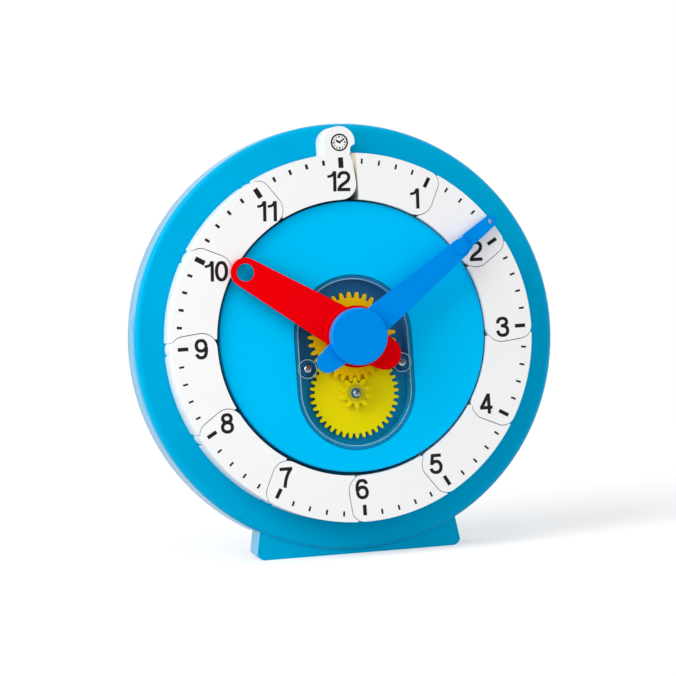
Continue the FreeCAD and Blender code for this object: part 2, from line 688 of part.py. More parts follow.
def make_gear_train():
    idler_back = size("idler_level")
    idler_front = idler_back + size("wheel_face")
    relay_front = size("pane_seat") - size("stack_gap")
    shift = size("profile_shift")
    arbor = size("arbor_radius")
    feature("minute_pinion",
            gear(count("minute_teeth"), FIRST_MODULE, shift, idler_back,
                 size("hour_level") - size("stack_gap"))
            .cut(disc(arbor, idler_back, size("hour_level"))))
    wheel = gear(count("idler_teeth"), FIRST_MODULE, -shift, idler_back, idler_front)
    relay = gear(count("relay_teeth"), SECOND_MODULE, shift, idler_front, relay_front)
    bore = disc(size("post_axle") + size("running_gap"), idler_back, relay_front)
    wheel = turned_by(wheel, 180 + half_tooth("idler_teeth"))
    relay = turned_by(relay, 180 + half_tooth("relay_teeth"))
    idler = wheel.fuse(relay).cut(bore)
    idler.translate(Vector(0, -size("wheel_distance"), 0))
    feature("idler_gear", idler)
    pipe_bore = arbor + size("running_gap")
    pipe_top = size("minute_blade_level") - size("stack_gap")
    pipe = disc(pipe_bore + size("pipe_wall"), size("hour_level"), pipe_top)
    plate = gear(count("hour_teeth"), SECOND_MODULE, -shift, size("hour_level"),
                 size("hour_level") + size("hour_face"))
    feature("hour_wheel", plate.fuse(pipe).cut(disc(pipe_bore, size("hour_level"), pipe_top)))


def make_arbor():
    body = new_body("minute_arbor")
    profile = new_sketch(body, "arbor_profile", "XZ_Plane")
    tail = "tray_floor_level - tray_floor_thick - arbor_tail"
    tip = "minute_blade_level + socket_depth"
    closed_outline(profile, [
        ("0", tail),
        ("arbor_radius", tail),
        ("arbor_radius", tip),
        ("0", tip),
    ])
    revolve(body, "arbor", profile)
    return stand(body, "minute_arbor")


def make_arbor_clip():
    body = new_body("arbor_clip")
    profile = new_sketch(body, "clip_profile", "XZ_Plane")
    front = "tray_floor_level - tray_floor_thick - stack_gap"
    closed_outline(profile, [
        ("arbor_radius", f"{front} - clip_thick"),
        ("clip_radius", f"{front} - clip_thick"),
        ("clip_radius", front),
        ("arbor_radius", front),
    ])
    revolve(body, "clip", profile)
    return stand(body, "arbor_clip")


# ---------------------------------------------------------------------------------------------
# Hands
# ---------------------------------------------------------------------------------------------
RISER = size("knee_distance") + size("knee_radius") - size("riser_thick")


def make_hour_hand():
    low = size("hour_blade_level")
    high = low + size("hand_thick")
    root, hub = size("hour_root"), Vector()
    tip = at(0, RISER - size("tip_clearance") - size("hour_tip_radius"))
    tail = at(0, -size("hour_tail"))
    blade = bar(hub, root, tip, size("hour_tip_radius"), low, high)
    back = bar(tail, size("hour_tail_radius"), hub, root, low, high)
    rim = disc(size("hour_collar"), low, high + size("collar_height"))
    dish = disc(size("hour_collar") - size("collar_wall"), high, high + size("collar_height"))
    skirt = disc(size("hour_hub"), size("boss_depth") + size("hub_clearance"), high)
    pipe = size("arbor_radius") + size("running_gap") + size("pipe_wall")
    hand = rim.fuse([blade, back]).cut(dish).fuse(skirt)
    hand = hand.cut(disc(pipe, 0, size("minute_hub_top"))).cut(disc(size("hour_hole"), low, high, tip))
    feature("hour_hand", turned_by(hand, size("hour_angle")))


def make_minute_hand():
    low, thick = size("minute_blade_level"), size("hand_thick")
    high = low + thick
    pointer_low = size("pointer_level")
    pointer_high = pointer_low + thick
    hub, knee = Vector(), at(0, size("knee_distance"))
    tip = at(0, size("minute_tip"))
    tail = at(0, -size("minute_tail"))
    blade = bar(hub, size("minute_root"), knee, size("knee_radius"), low, high)
    back = bar(tail, size("minute_tail_radius"), hub, size("minute_root"), low, high)
    button = disc(size("knee_button"), high, high + size("button_height"), knee)
    pointer = bar(knee, size("pointer_root"), tip, size("pointer_tip"), pointer_low, high)
    beyond_riser = size("knee_distance") + size("knee_radius")
    reach = size("minute_tip") + size("pointer_tip")
    wide = 2 * size("minute_hub")
    over = Part.makeBox(wide, reach, thick * 4, Vector(-wide / 2, beyond_riser, pointer_high))
    under = Part.makeBox(wide, RISER, low - pointer_low, Vector(-wide / 2, 0, pointer_low))
    pointer = pointer.cut(over).cut(under)
    cap = disc(size("minute_hub"), low, size("minute_hub_top"))
    cap = cap.makeFillet(size("hub_round"), [edge for edge in cap.Edges if edge.BoundBox.ZMin > high])
    socket = disc(size("arbor_radius"), low, low + size("socket_depth"))
    hand = cap.fuse([blade, back, button, pointer]).cut(socket)
    hand = hand.cut(disc(size("minute_hole"), pointer_low, high, tip))
    feature("minute_hand", turned_by(hand, size("minute_angle")))


# ---------------------------------------------------------------------------------------------
# Number line: twelve hinged links, drawn with the link's own hour at twelve o'clock
# ---------------------------------------------------------------------------------------------
INNER, OUTER, PIVOT = size("link_inner"), size("link_outer"), size("pivot_radius")
GAP = size("joint_gap")
HOUR_STEP = 360.0 / count("hour_count")
END_PIVOT = polar(PIVOT, 0)
START_PIVOT = polar(PIVOT, -HOUR_STEP)
LOBE = OUTER - PIVOT
NOTCH = 90 - size("unroll_angle") - size("swing_spare")
LEAN_IN = math.radians(size("lobe_lean"))
SLANT_OUT = Vector(math.cos(LEAN_IN), math.sin(LEAN_IN), 0)
SLANT_DOWN = Vector(math.sin(LEAN_IN), -math.cos(LEAN_IN), 0)


def from_pivot(radius, angle, pivot=END_PIVOT):
    """A point round a pivot; the angle runs anticlockwise from the reader's right."""
    turn = math.radians(angle)
    return pivot + Vector(radius * math.cos(turn), radius * math.sin(turn), 0)


def corner_centre():
    """Centre of the rounded end's inner corner: it touches the slanted side and the inner edge."""
    start = END_PIVOT + SLANT_OUT * (LOBE - size("lobe_corner"))
    reach = INNER + size("lobe_corner")
    half = start.dot(SLANT_DOWN)
    travel = -half - math.sqrt(half * half - start.dot(start) + reach * reach)
    return start + SLANT_DOWN * travel


CORNER = corner_centre()
NEXT_PIVOT = polar(PIVOT, HOUR_STEP)
END_REACH = max((CORNER - START_PIVOT).Length + size("lobe_corner"), (END_PIVOT - START_PIVOT).Length + LOBE)
CLOSING_SWEEP = END_REACH + GAP
TAB_CENTRE = at(0, size("tab_distance"))


def closing_reach():
    """How far across the first link starts, so that it and the last link can each open alone."""
    own = START_PIVOT.x + CLOSING_SWEEP
    near = (CORNER - NEXT_PIVOT).Length - size("lobe_corner") - GAP
    other = NEXT_PIVOT.x - math.sqrt(near ** 2 - (NEXT_PIVOT.y - INNER) ** 2)
    return max(own, other)


CLOSING_REACH = closing_reach()


def on_circle(point, radius):
    """The point moved along its own radius from the dial axis."""
    return point * (radius / point.Length)


def along(start, end, radius, centre=None):
    """An arc of a circle, the short way round, between two points on it."""
    middle = centre or Vector()
    halfway = (start + end) / 2 - middle
    return arc(start, middle + halfway * (radius / halfway.Length), end)


def meet_outer(angle, pivot=END_PIVOT):
    """Where a ray from a pivot meets the line's outer edge."""
    ray = from_pivot(1, angle, pivot) - pivot
    half = pivot.dot(ray)
    return pivot + ray * (-half + math.sqrt(half * half - pivot.dot(pivot) + OUTER * OUTER))


def back_one_hour(point):
    return Rotation(Vector(0, 0, 1), HOUR_STEP).multVec(point)


def start_edge(straight):
    """Edges of a link's hollow start, from the inner edge to the outer one."""
    if straight:
        across = CLOSING_REACH
        low = at(across, math.sqrt(INNER ** 2 - across ** 2))
        high = at(across, math.sqrt(OUTER ** 2 - across ** 2))
        return [back_one_hour(point) for point in (low, high)], [("line", None)]
    corner = size("lobe_corner") + GAP
    blunt = INNER + size("heel_cut")
    apart = CORNER.Length
    bend = math.acos((apart ** 2 + blunt ** 2 - corner ** 2) / (2 * apart * blunt))
    heel = polar(blunt, math.degrees(math.atan2(CORNER.x, CORNER.y) + bend))
    slant_low = CORNER + SLANT_OUT * corner
    slant_high = END_PIVOT + SLANT_OUT * (LOBE + GAP)
    notch = from_pivot(LOBE + GAP, NOTCH)
    points = [on_circle(heel, INNER), heel, slant_low, slant_high, notch, meet_outer(NOTCH)]
    ways = [("line", None), ("arc", (CORNER, corner)), ("line", None),
            ("arc", (END_PIVOT, LOBE + GAP)), ("line", None)]
    ways = [(kind, (back_one_hour(how[0]), how[1]) if how else None) for kind, how in ways]
    return [back_one_hour(point) for point in points], ways


def run(points, ways):
    """Edges through the points, straight or round a centre."""
    edges = []
    for start, end, (kind, how) in zip(points, points[1:], ways):
        edges.append(line(start, end) if kind == "line" else along(start, end, how[1], how[0]))
    return edges


def front_outline(straight_start):
    """The face of a link: hollow start, outer edge, rounded end, inner edge."""
    points, ways = start_edge(straight_start)
    return run(points, ways) + lobe_edges(points[0], points[-1])


def lobe_edges(inner_start, outer_start):
    """From the start's outer corner round the lobe and back to its inner corner."""
    lobe_top = at(0, OUTER)
    slant_top = END_PIVOT + SLANT_OUT * LOBE
    slant_bottom = CORNER + SLANT_OUT * size("lobe_corner")
    toe = on_circle(CORNER, INNER)
    return [
        along(outer_start, lobe_top, OUTER),
        along(lobe_top, slant_top, LOBE, END_PIVOT),
        line(slant_top, slant_bottom),
        along(slant_bottom, toe, size("lobe_corner"), CORNER),
        along(toe, inner_start, INNER),
    ]


def back_outline(straight_start, full_end):
    """The lower half of a link: a tongue at its start, and a hollow for the next tongue."""
    half = GAP / 2
    if straight_start:
        points, ways = start_edge(straight=True)
        edges = run(points, ways)
        inner_start, outer_start = points[0], points[-1]
    else:
        tongue = size("tongue_radius")
        inner_start = back_one_hour(at(half, math.sqrt(INNER ** 2 - half ** 2)))
        outer_start = back_one_hour(meet_outer(NOTCH))
        neck = back_one_hour(at(half, PIVOT - math.sqrt(tongue ** 2 - half ** 2)))
        round_back = [back_one_hour(from_pivot(tongue, angle)) for angle in (225, 180, 120, NOTCH)]
        edges = [line(inner_start, neck), arc(neck, round_back[0], round_back[1]),
                 arc(round_back[1], round_back[2], round_back[3]), line(round_back[3], outer_start)]
    if full_end:
        return edges + lobe_edges(inner_start, outer_start)
    hollow = size("tongue_radius") + GAP
    lip = 90 + size("unroll_angle")
    top = meet_outer(lip)
    bottom = at(-half, PIVOT - math.sqrt(hollow ** 2 - half ** 2))
    toe = at(-half, math.sqrt(INNER ** 2 - half ** 2))
    return edges + [along(outer_start, top, OUTER), line(top, from_pivot(hollow, lip)),
                    arc(from_pivot(hollow, lip), from_pivot(hollow, 190), bottom),
                    line(bottom, toe), along(toe, inner_start, INNER)]


def sector(inner, outer, start, end, bottom, top):
    """A curved box between two radii and two clockwise angles."""
    middle = (start + end) / 2
    edges = [arc(polar(inner, start), polar(inner, middle), polar(inner, end)),
             line(polar(inner, end), polar(outer, end)),
             arc(polar(outer, end), polar(outer, middle), polar(outer, start)),
             line(polar(outer, start), polar(inner, start))]
    return raised(edges, bottom, top)


def angle_across(distance):
    """The clockwise angle that a distance across the link takes up at its inner wall."""
    return math.degrees(distance / (INNER + size("link_wall")))


def link_shape(first=False, last=False):
    bottom = size("ring_depth") + size("fixed_gap")
    lap, top = size("link_lap"), size("link_top")
    tongue_top = lap - size("stack_gap")
    wall, face = size("link_wall"), size("link_front")
    back = back_outline(straight_start=first, full_end=last)
    front = front_outline(straight_start=first)
    bridge = raised(back, tongue_top, lap).common(raised(front, tongue_top, lap))
    body = raised(front, lap, top).fuse([raised(back, bottom, tongue_top), bridge])
    near, far = INNER + wall, OUTER - wall
    sleeve = size("pin_radius") + size("running_gap") + size("pin_boss")
    mid_start = -HOUR_STEP + angle_across(CLOSING_REACH + wall)
    low_start = mid_start if first else -HOUR_STEP + angle_across(sleeve + wall)
    low_end = -angle_across(size("tongue_radius") + GAP + wall)
    high_end = -angle_across(sleeve)
    body = body.cut([sector(near, far, low_start, low_end, bottom, tongue_top - face),
                     sector(near, far, mid_start, low_end, tongue_top - face, lap),
                     sector(near, far, mid_start, high_end, lap, top - face)])
    if first:
        body = body.fuse(closing_ledge(bottom, top - size("closing_step")))
    else:
        head_room = size("pin_head_height") + 2 * size("stack_gap") + GAP
        pivot_bore = disc(size("pin_radius") + size("running_gap"), bottom, tongue_top, START_PIVOT)
        body = body.cut([pivot_bore, disc(size("pin_head") + GAP, bottom, bottom + head_room, START_PIVOT)])
    if last:
        cores = [disc(size("lobe_corner") - wall, bottom, top - face, CORNER),
                 disc(size("tab_radius") - wall, bottom, top - face, TAB_CENTRE),
                 sector(near, far, low_end, 0, bottom, top - face)]
        return body.fuse(tab(bottom, top)).cut(cores)
    pin_foot = bottom + size("stack_gap")
    pin = disc(size("pin_radius"), pin_foot, lap, END_PIVOT)
    head = disc(size("pin_head"), pin_foot, pin_foot + size("pin_head_height"), END_PIVOT)
    return body.fuse([pin, head])


def closing_ledge(bottom, top):
    """The step in front of the first link's start, which fills the gap beside the last link's end."""
    wide, tall = CLOSING_REACH + size("link_wall"), OUTER - START_PIVOT.y
    block = Part.makeBox(wide, tall, top - bottom, Vector(0, START_PIVOT.y, bottom))
    past_tab = (TAB_CENTRE - NEXT_PIVOT).Length - size("tab_radius") - GAP
    ledge = block.common(disc(OUTER, bottom, top)).common(disc(past_tab, bottom, top, NEXT_PIVOT))
    ledge = ledge.cut(disc(CLOSING_SWEEP, bottom, top, START_PIVOT))
    ledge.rotate(Vector(), Vector(0, 0, 1), HOUR_STEP)
    return ledge


def tab(bottom, top):
    """The pull tab: a round head on a neck that is notched on its clockwise side."""
    radius, notch = size("tab_radius"), size("tab_neck")
    tall = top - bottom
    neck = Part.makeBox(radius, TAB_CENTRE.y - PIVOT, tall, Vector(-radius, PIVOT, bottom))
    shoulder = Part.makeBox(LOBE, LOBE, tall, Vector(0, PIVOT, bottom))
    shoulder = shoulder.common(disc(END_REACH, bottom, top, START_PIVOT))
    bite = disc(notch, bottom, top, at(radius, OUTER + notch * 0.5))
    return disc(radius, bottom, top, TAB_CENTRE).fuse([neck, shoulder]).cut(bite)


def make_number_line():
    total = count("hour_count")
    for hour in range(1, total + 1):
        shape = turned_by(link_shape(first=hour == 1, last=hour == total), hour * HOUR_STEP)
        shape.translate(Vector(-size("chain_aside"), -size("chain_drop"), 0))
        feature(f"link_{hour:02d}", shape)


# ---------------------------------------------------------------------------------------------
# Build, test and write
# ---------------------------------------------------------------------------------------------
make_front_shell()
make_rear_cover()
make_cover_screws()
make_gear_tray()
make_window_pane()
make_pane_screws()
make_gear_train()
make_arbor()
make_arbor_clip()
make_hour_hand()
make_minute_hand()
make_number_line()

doc.recompute()
for item in doc.Objects:
    if "Invalid" in item.State or "Error" in item.State:
        raise RuntimeError(f"{item.Label} failed: {item.State}")
os.makedirs("parts", exist_ok=True)
for piece in NODES:
    if piece.Shape.isNull() or not piece.Shape.isValid():
        raise RuntimeError(f"{piece.Label} has no valid shape")
    piece.Shape.exportStep(f"parts/{piece.Label}.step")
    print(f"{piece.Label}: {len(piece.Shape.Solids)} solid(s), {piece.Shape.Volume:.0f} mm3")
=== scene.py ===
import json
import math

import bmesh
import bpy
import numpy as np
from bpy.props import FloatProperty, FloatVectorProperty, PointerProperty
from mathutils import Matrix, Vector
from mathutils.geometry import tessellate_polygon

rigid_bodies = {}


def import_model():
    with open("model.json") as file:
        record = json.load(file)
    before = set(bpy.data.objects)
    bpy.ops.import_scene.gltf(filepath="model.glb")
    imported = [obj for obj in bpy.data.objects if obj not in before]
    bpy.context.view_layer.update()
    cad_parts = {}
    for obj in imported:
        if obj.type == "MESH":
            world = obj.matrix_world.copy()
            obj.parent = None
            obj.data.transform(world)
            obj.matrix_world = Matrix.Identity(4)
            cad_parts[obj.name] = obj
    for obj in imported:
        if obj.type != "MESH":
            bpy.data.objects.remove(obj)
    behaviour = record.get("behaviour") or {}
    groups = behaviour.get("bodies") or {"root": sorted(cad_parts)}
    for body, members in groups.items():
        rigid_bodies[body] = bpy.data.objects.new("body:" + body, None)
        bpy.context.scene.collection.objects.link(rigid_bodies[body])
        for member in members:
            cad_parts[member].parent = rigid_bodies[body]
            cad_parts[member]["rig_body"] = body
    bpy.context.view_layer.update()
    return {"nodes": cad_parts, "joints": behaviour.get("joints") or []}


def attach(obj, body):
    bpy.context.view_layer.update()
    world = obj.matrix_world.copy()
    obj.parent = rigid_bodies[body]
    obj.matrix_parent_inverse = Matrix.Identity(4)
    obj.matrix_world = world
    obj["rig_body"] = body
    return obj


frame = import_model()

bl_info = {
    "name": "Geared teaching clock",
    "version": (1, 0, 0),
    "blender": (4, 5, 0),
    "location": "3D View > Sidebar > Clock",
    "description": "Finishes, printed number line and studio for a geared teaching clock",
    "category": "Object",
}

HOURS = range(1, 13)
HOUR_STEP = 30.0


# ---------------------------------------------------------------------------------------------
# The dial's own frame: x to the reader's right, y up the dial, z out of it from the back rim
# ---------------------------------------------------------------------------------------------
def joint(name):
    return next(entry for entry in frame["joints"] if entry["name"] == name)


DIAL_OUT = -Vector(joint("minute_turn")["axis"]).normalized()
DIAL_RIGHT = Vector((1.0, 0.0, 0.0))
DIAL_UP = DIAL_OUT.cross(DIAL_RIGHT)
HUB_POINT = Vector(joint("minute_turn")["pos_m"])
IDLER_POINT = Vector(joint("idler_turn")["pos_m"])
WHEEL_DISTANCE = (IDLER_POINT - HUB_POINT).length
# Faces, as distances in front of the back rim
RING_FACE, PANE_FACE, DISC_FACE, LINK_FACE = 0.0240, 0.0430, 0.0435, 0.0470
DIAL_ORIGIN = HUB_POINT - DIAL_OUT * DISC_FACE
DISC_RADIUS = 0.0768
# The window's half width, and the heights of the centres of its two round ends
WINDOW_REACH = 0.0343
WINDOW_HIGH, WINDOW_LOW = 0.0010, 0.0019 - WHEEL_DISTANCE
# The pane's two side screws, and the radius of the bead round each
SIDE_SCREWS = ((-0.0275, -0.0165), (0.0275, -0.0165))
SCREW_CUP = 0.0053
# How far the number line hangs left of the dial's axis and below it
CHAIN_ASIDE, CHAIN_DROP = 0.0009, 0.0004


def from_dial(x, y, z):
    """A point of the dial's frame in the row frame."""
    return DIAL_ORIGIN + DIAL_RIGHT * x + DIAL_UP * y + DIAL_OUT * z


def spoke(degrees, reach):
    """A step from a centre along a clockwise angle, in dial x and y."""
    turn = math.radians(degrees)
    return reach * np.array([math.sin(turn), math.cos(turn)])


def on_line(radius, degrees):
    """A point of the number line's circle at a clockwise angle from twelve, in dial x and y."""
    return spoke(degrees, radius) - (CHAIN_ASIDE, CHAIN_DROP)


def link_name(hour):
    return f"link_{hour:02d}"


def link_body(hour):
    """The body that a link rides with: the lowest link is held to the casing."""
    return frame["nodes"][link_name(hour)]["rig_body"]


# ---------------------------------------------------------------------------------------------
# Sizes and colours that a user would change
# ---------------------------------------------------------------------------------------------
def linear(red, green, blue):
    """A colour given as 0 to 255 on a screen, as linear light."""
    def channel(value):
        value /= 255.0
        return value / 12.92 if value <= 0.04045 else ((value + 0.055) / 1.055) ** 2.4
    return channel(red), channel(green), channel(blue)


def length(name, description, value):
    return FloatProperty(name=name, description=description, default=value, min=0.0,
                         unit="LENGTH", precision=5)


def colour(name, description, red, green, blue):
    return FloatVectorProperty(name=name, description=description, size=3, subtype="COLOR",
                               min=0.0, max=1.0, default=linear(red, green, blue))


class ClockSizes(bpy.types.PropertyGroup):
    """Sizes of the printed marks and of the softened edges."""
    digit_height: length("Digit height", "Height of the hour numbers", 0.0114)
    digit_circle: length("Digit circle", "Radius on which the hour numbers are centred", 0.0873)
    digit_space: length("Digit space", "Gap between the two digits of an hour", 0.0006)
    ink: length("Ink", "How far the print stands proud of the plastic", 0.00006)
    minute_circle: length("Minute circle", "Radius of the middle of the minute marks", 0.1000)
    minute_length: length("Minute length", "Length of a minute mark", 0.0029)
    minute_width: length("Minute width", "Width of a minute mark", 0.0011)
    hour_circle: length("Hour circle", "Radius of the middle of the five-minute marks", 0.0980)
    hour_length: length("Hour length", "Length of a five-minute mark", 0.0060)
    hour_width: length("Hour width", "Width of a five-minute mark", 0.0021)
    top_lift: length("Top lift", "How much further out the mark at twelve stands", 0.0012)
    bead_inset: length("Bead inset", "Window's edge to the bead on the pane", 0.0024)
    bead: length("Bead", "Radius of the half-round bead on the pane", 0.00028)
    tab_circle: length("Tab circle", "Radius on which the small printed clock is centred", 0.1107)
    tab_print: length("Tab print", "Radius of the small printed clock", 0.0050)
    link_edge: length("Link edge", "Rounding of the links' edges", 0.0009)
    hand_edge: length("Hand edge", "Rounding of the hands' edges", 0.0005)
    casing_edge: length("Casing edge", "Rounding of the casing's small edges", 0.0007)
    screw_edge: length("Screw edge", "Rounding of the screws' edges", 0.00012)


class ClockColours(bpy.types.PropertyGroup):
    """Colours of the plastics, the print and the metal."""
    ring: colour("Ring", "Outer ring, side wall and foot", 0, 163, 210)
    disc: colour("Disc", "Raised dial disc", 0, 187, 243)
    link: colour("Links", "White plastic of the number line", 240, 240, 240)
    step: colour("Step", "Cream tint in the step beside the last link", 236, 226, 206)
    print_black: colour("Print", "Numbers and minute marks", 21, 18, 21)
    hour_red: colour("Hour hand", "Red plastic of the hour hand", 232, 0, 10)
    minute_blue: colour("Minute hand", "Blue plastic of the minute hand", 0, 136, 226)
    gear: colour("Gears", "Yellow plastic of the gear train", 240, 224, 0)
    # The hour wheel's orange is the gears' yellow with the red hour hand's reflection and shade
    # painted in
    gear_warm: colour("Gears, upper", "Warmer yellow of the hour wheel", 250, 205, 0)
    # The tray's top colour holds painted shade from the hands above it
    tray_high: colour("Tray, top", "Dark plastic behind the gears, at the top", 60, 142, 204)
    tray_low: colour("Tray, bottom", "Dark plastic behind the gears, at the bottom", 16, 166, 214)
    pane: colour("Pane", "Faint tint of the clear pane over the gears", 24, 52, 70)
    boss: colour("Screw cups", "Dark cups under the pane's side screws", 24, 62, 108)
    pane_rim: colour("Pane rim", "Pane outside its bead", 30, 150, 200)
    # The beads' pale colour is a painted highlight along the pane's edges
    bead: colour("Beads", "Light beads on the pane", 190, 222, 240)
    steel: colour("Steel", "Screws, arbor and clip", 176, 178, 180)


class ClockStudio(bpy.types.PropertyGroup):
    """Where the camera stands and how the studio is lit."""
    azimuth: FloatProperty(name="Azimuth", description="Camera's angle round the clock",
                           default=math.radians(-12.5), subtype="ANGLE")
    elevation: FloatProperty(name="Elevation", description="Camera's angle above the table",
                             default=math.radians(5.4), subtype="ANGLE")
    roll: FloatProperty(name="Roll", description="Camera's turn about its own line of sight",
                        default=math.radians(-2.9), subtype="ANGLE")
    distance: length("Distance", "Camera to the middle of the dial", 2.5)
    lens: FloatProperty(name="Lens", description="Focal length in millimetres", default=235.1)
    aside: length("Aside", "How far the dial stands right of the picture's middle", 0.0093)
    above: length("Above", "How far the dial stands above the picture's middle", 0.00077)
    floor: colour("Floor", "Floor of the studio", 198, 198, 199)


# ---------------------------------------------------------------------------------------------
# Materials
# ---------------------------------------------------------------------------------------------
BLACK, WHITE = (0.0, 0.0, 0.0), (1.0, 1.0, 1.0)
ACRYLIC_IOR = 1.49


def tinted(shade, factor):
    """A colour made lighter or darker."""
    return tuple(min(1.0, channel * factor) for channel in tuple(shade)[:3])


class Socket:
    """A value in a node tree, which sums and products can be written with."""

    def __init__(self, nodes, socket):
        self.nodes = nodes
        self.socket = socket

    def math(self, operation, *values):
        return self.nodes.node("ShaderNodeMath", {"operation": operation}, dict(enumerate(values)))

    def __add__(self, other):
        return self.math("ADD", self, other)

    def __sub__(self, other):
        return self.math("SUBTRACT", self, other)

    def __rsub__(self, other):
        return self.math("SUBTRACT", other, self)

    def __mul__(self, other):
        return self.math("MULTIPLY", self, other)

    __radd__ = __add__
    __rmul__ = __mul__

    def root(self):
        return self.math("SQRT", self)

    def between(self, low, high):
        """0 at low, 1 at high, smooth in between and level beyond; low may be the greater."""
        return self.nodes.node("ShaderNodeMapRange", {"interpolation_type": "SMOOTHSTEP"},
                               {"Value": self, "From Min": low, "From Max": high})


class Nodes:
    """A node tree, and the nodes that are added to it."""

    def __init__(self, tree):
        self.tree = tree

    def connect(self, target, value):
        if isinstance(value, Socket):
            self.tree.links.new(value.socket, target)
        elif target.type == "RGBA":
            target.default_value = (*tuple(value)[:3], 1.0)
        else:
            target.default_value = value

    def node(self, kind, settings=None, inputs=None, output=0):
        """Adds a node: its settings first, then the values or links of its sockets."""
        node = self.tree.nodes.new(kind)
        for name, value in (settings or {}).items():
            setattr(node, name, value)
        for key, value in (inputs or {}).items():
            self.connect(node.inputs[key], value)
        return Socket(self, node.outputs[output])

    def mix(self, factor, first, second):
        return self.node("ShaderNodeMix", {"data_type": "RGBA"},
                         {0: factor, 6: first, 7: second}, output=2)

    def vector(self, operation, *values, output=0):
        return self.node("ShaderNodeVectorMath", {"operation": operation},
                         dict(enumerate(values)), output)

    def ray(self, *kinds):
        """1 for the kinds of ray that are named, and 0 for all others."""
        path = self.node("ShaderNodeLightPath").socket.node
        return sum(Socket(self, path.outputs[kind]) for kind in kinds)


class Finish(Nodes):
    """One material: a Principled shader and the nodes that feed it."""

    def __init__(self, name, **values):
        self.material = bpy.data.materials.new(name)
        self.material.use_nodes = True
        super().__init__(self.material.node_tree)
        self.shader = self.tree.nodes["Principled BSDF"]
        for title, value in values.items():
            self.feed(title.replace("_", " "), value)

    def feed(self, title, value):
        self.connect(self.shader.inputs[title], value)

    def place(self):
        """Position on the piece, which is the row frame at rest."""
        return self.node("ShaderNodeTexCoord", output=3)

    def noise(self, scale, detail=2.0, rough=0.5):
        return self.node("ShaderNodeTexNoise", {}, {"Vector": self.place(), "Scale": scale,
                                                    "Detail": detail, "Roughness": rough})

    def clouded(self, shade, low, high, scale, detail=3.0):
        """A colour that drifts between two strengths of a shade."""
        return self.mix(self.noise(scale, detail), tinted(shade, low), tinted(shade, high))

    def roughen(self, low, spread, scale, detail):
        """Uneven polish: a roughness that drifts upwards from low."""
        self.feed("Roughness", low + self.noise(scale, detail) * spread)

    def along(self, direction, origin):
        """Distance from a point along a direction."""
        offset = self.vector("SUBTRACT", self.place(), origin)
        return self.vector("DOT_PRODUCT", offset, direction, output=1)

    def from_axis(self, point):
        """Distance from a line through a point, square to the dial."""
        right, up = self.along(DIAL_RIGHT, point), self.along(DIAL_UP, point)
        return (right * right + up * up).root()

    def from_window_line(self):
        """Distance from the line between the centres of the window's two round ends."""
        right, up = self.along(DIAL_RIGHT, DIAL_ORIGIN), self.along(DIAL_UP, DIAL_ORIGIN)
        held = self.node("ShaderNodeClamp", {},
                         {"Value": up, "Min": WINDOW_LOW, "Max": WINDOW_HIGH})
        beyond = up - held
        return (right * right + beyond * beyond).root()

    def bump(self, height, distance):
        self.feed("Normal", self.node("ShaderNodeBump", {},
                                      {"Height": height, "Distance": distance}))


def plastic(name, shade, polish, grain=0.000004, grain_scale=2600.0):
    """Moulded plastic before its colour: uneven polish and the fine grain of the mould."""
    finish = Finish(name, Specular_IOR_Level=0.36, Specular_Tint=tinted(shade, 1 / max(shade)))
    finish.roughen(polish - 0.05, 0.1, scale=90.0, detail=4.0)
    finish.bump(finish.noise(grain_scale, 3.0, 0.6) + finish.noise(120.0) * 0.6, grain)
    return finish


def moulded(name, shade, cloud=0.05, **surface):
    """Moulded plastic of one faintly clouded colour."""
    finish = plastic(name, shade, **surface)
    finish.feed("Base Color", finish.clouded(shade, 1 - cloud, 1 + cloud, scale=38.0))
    return finish


def steel(name, shade, polish):
    """Plated steel: faintly mottled, with fine turning marks."""
    finish = Finish(name, Metallic=1.0)
    finish.feed("Base Color", finish.clouded(shade, 0.82, 1.08, scale=900.0, detail=4.0))
    finish.roughen(polish - 0.08, 0.16, scale=2400.0, detail=3.0)
    finish.bump(finish.noise(5200.0), 0.000004)
    return finish


def ink(shade):
    """Black print: a thin, slightly uneven coat."""
    finish = Finish("print_ink", Specular_IOR_Level=0.3)
    finish.feed("Base Color", finish.clouded(shade, 0.7, 1.4, scale=700.0, detail=4.0))
    finish.roughen(0.35, 0.2, scale=1500.0, detail=3.0)
    finish.bump(finish.noise(4000.0), 0.000006)
    return finish


def dress(finish, *names):
    """Gives CAD nodes a material."""
    for name in names:
        node = frame["nodes"][name]
        node.data.materials.clear()
        node.data.materials.append(finish.material)


# Vertices closer than this are one; faces flatter than the first angle are joined, and edges
# sharper than the second are rounded
WELD_REACH, FLAT_ANGLE, EDGE_ANGLE = 1e-6, math.radians(0.4), math.radians(32.0)


def soften(names, width, segments=3):
    """Rounds the moulded edges of CAD nodes, with modifiers only."""
    for name in names:
        node = frame["nodes"][name]
        weld = node.modifiers.new("weld", "WELD")
        weld.merge_threshold = WELD_REACH
        flat = node.modifiers.new("flat", "DECIMATE")
        flat.decimate_type = "DISSOLVE"
        flat.angle_limit = FLAT_ANGLE
        bevel = node.modifiers.new("edge", "BEVEL")
        bevel.width = width
        bevel.segments = segments
        bevel.limit_method = "ANGLE"
        bevel.angle_limit = EDGE_ANGLE
        bevel.harden_normals = True


# ---------------------------------------------------------------------------------------------
# Printed marks
# ---------------------------------------------------------------------------------------------
# Degrees from an hour to its first minute mark, and from one mark to the next
FIRST_MARK, MARK_STEP = 7.0, 5.753
# How far each hour's number stands right of its even place and above it, in millimetres, and its
# clockwise turn in degrees
NUMBER_PLACES = {
    1: (-2.3, 0.65, 2.0), 2: (-0.5, 0.5, 1.0), 3: (0.45, 0.0, 0.0), 4: (-0.8, 0.6, 0.0),
    5: (-0.5, 0.6, 0.0), 6: (-0.85, 1.3, -1.5), 7: (-0.4, -0.5, 0.0), 8: (-0.15, 0.5, 0.0),
    9: (-0.2, -0.5, 0.0), 10: (-0.4, -1.0, 3.0), 11: (-0.95, -1.1, 3.0), 12: (-2.0, 1.5, 3.0),
}
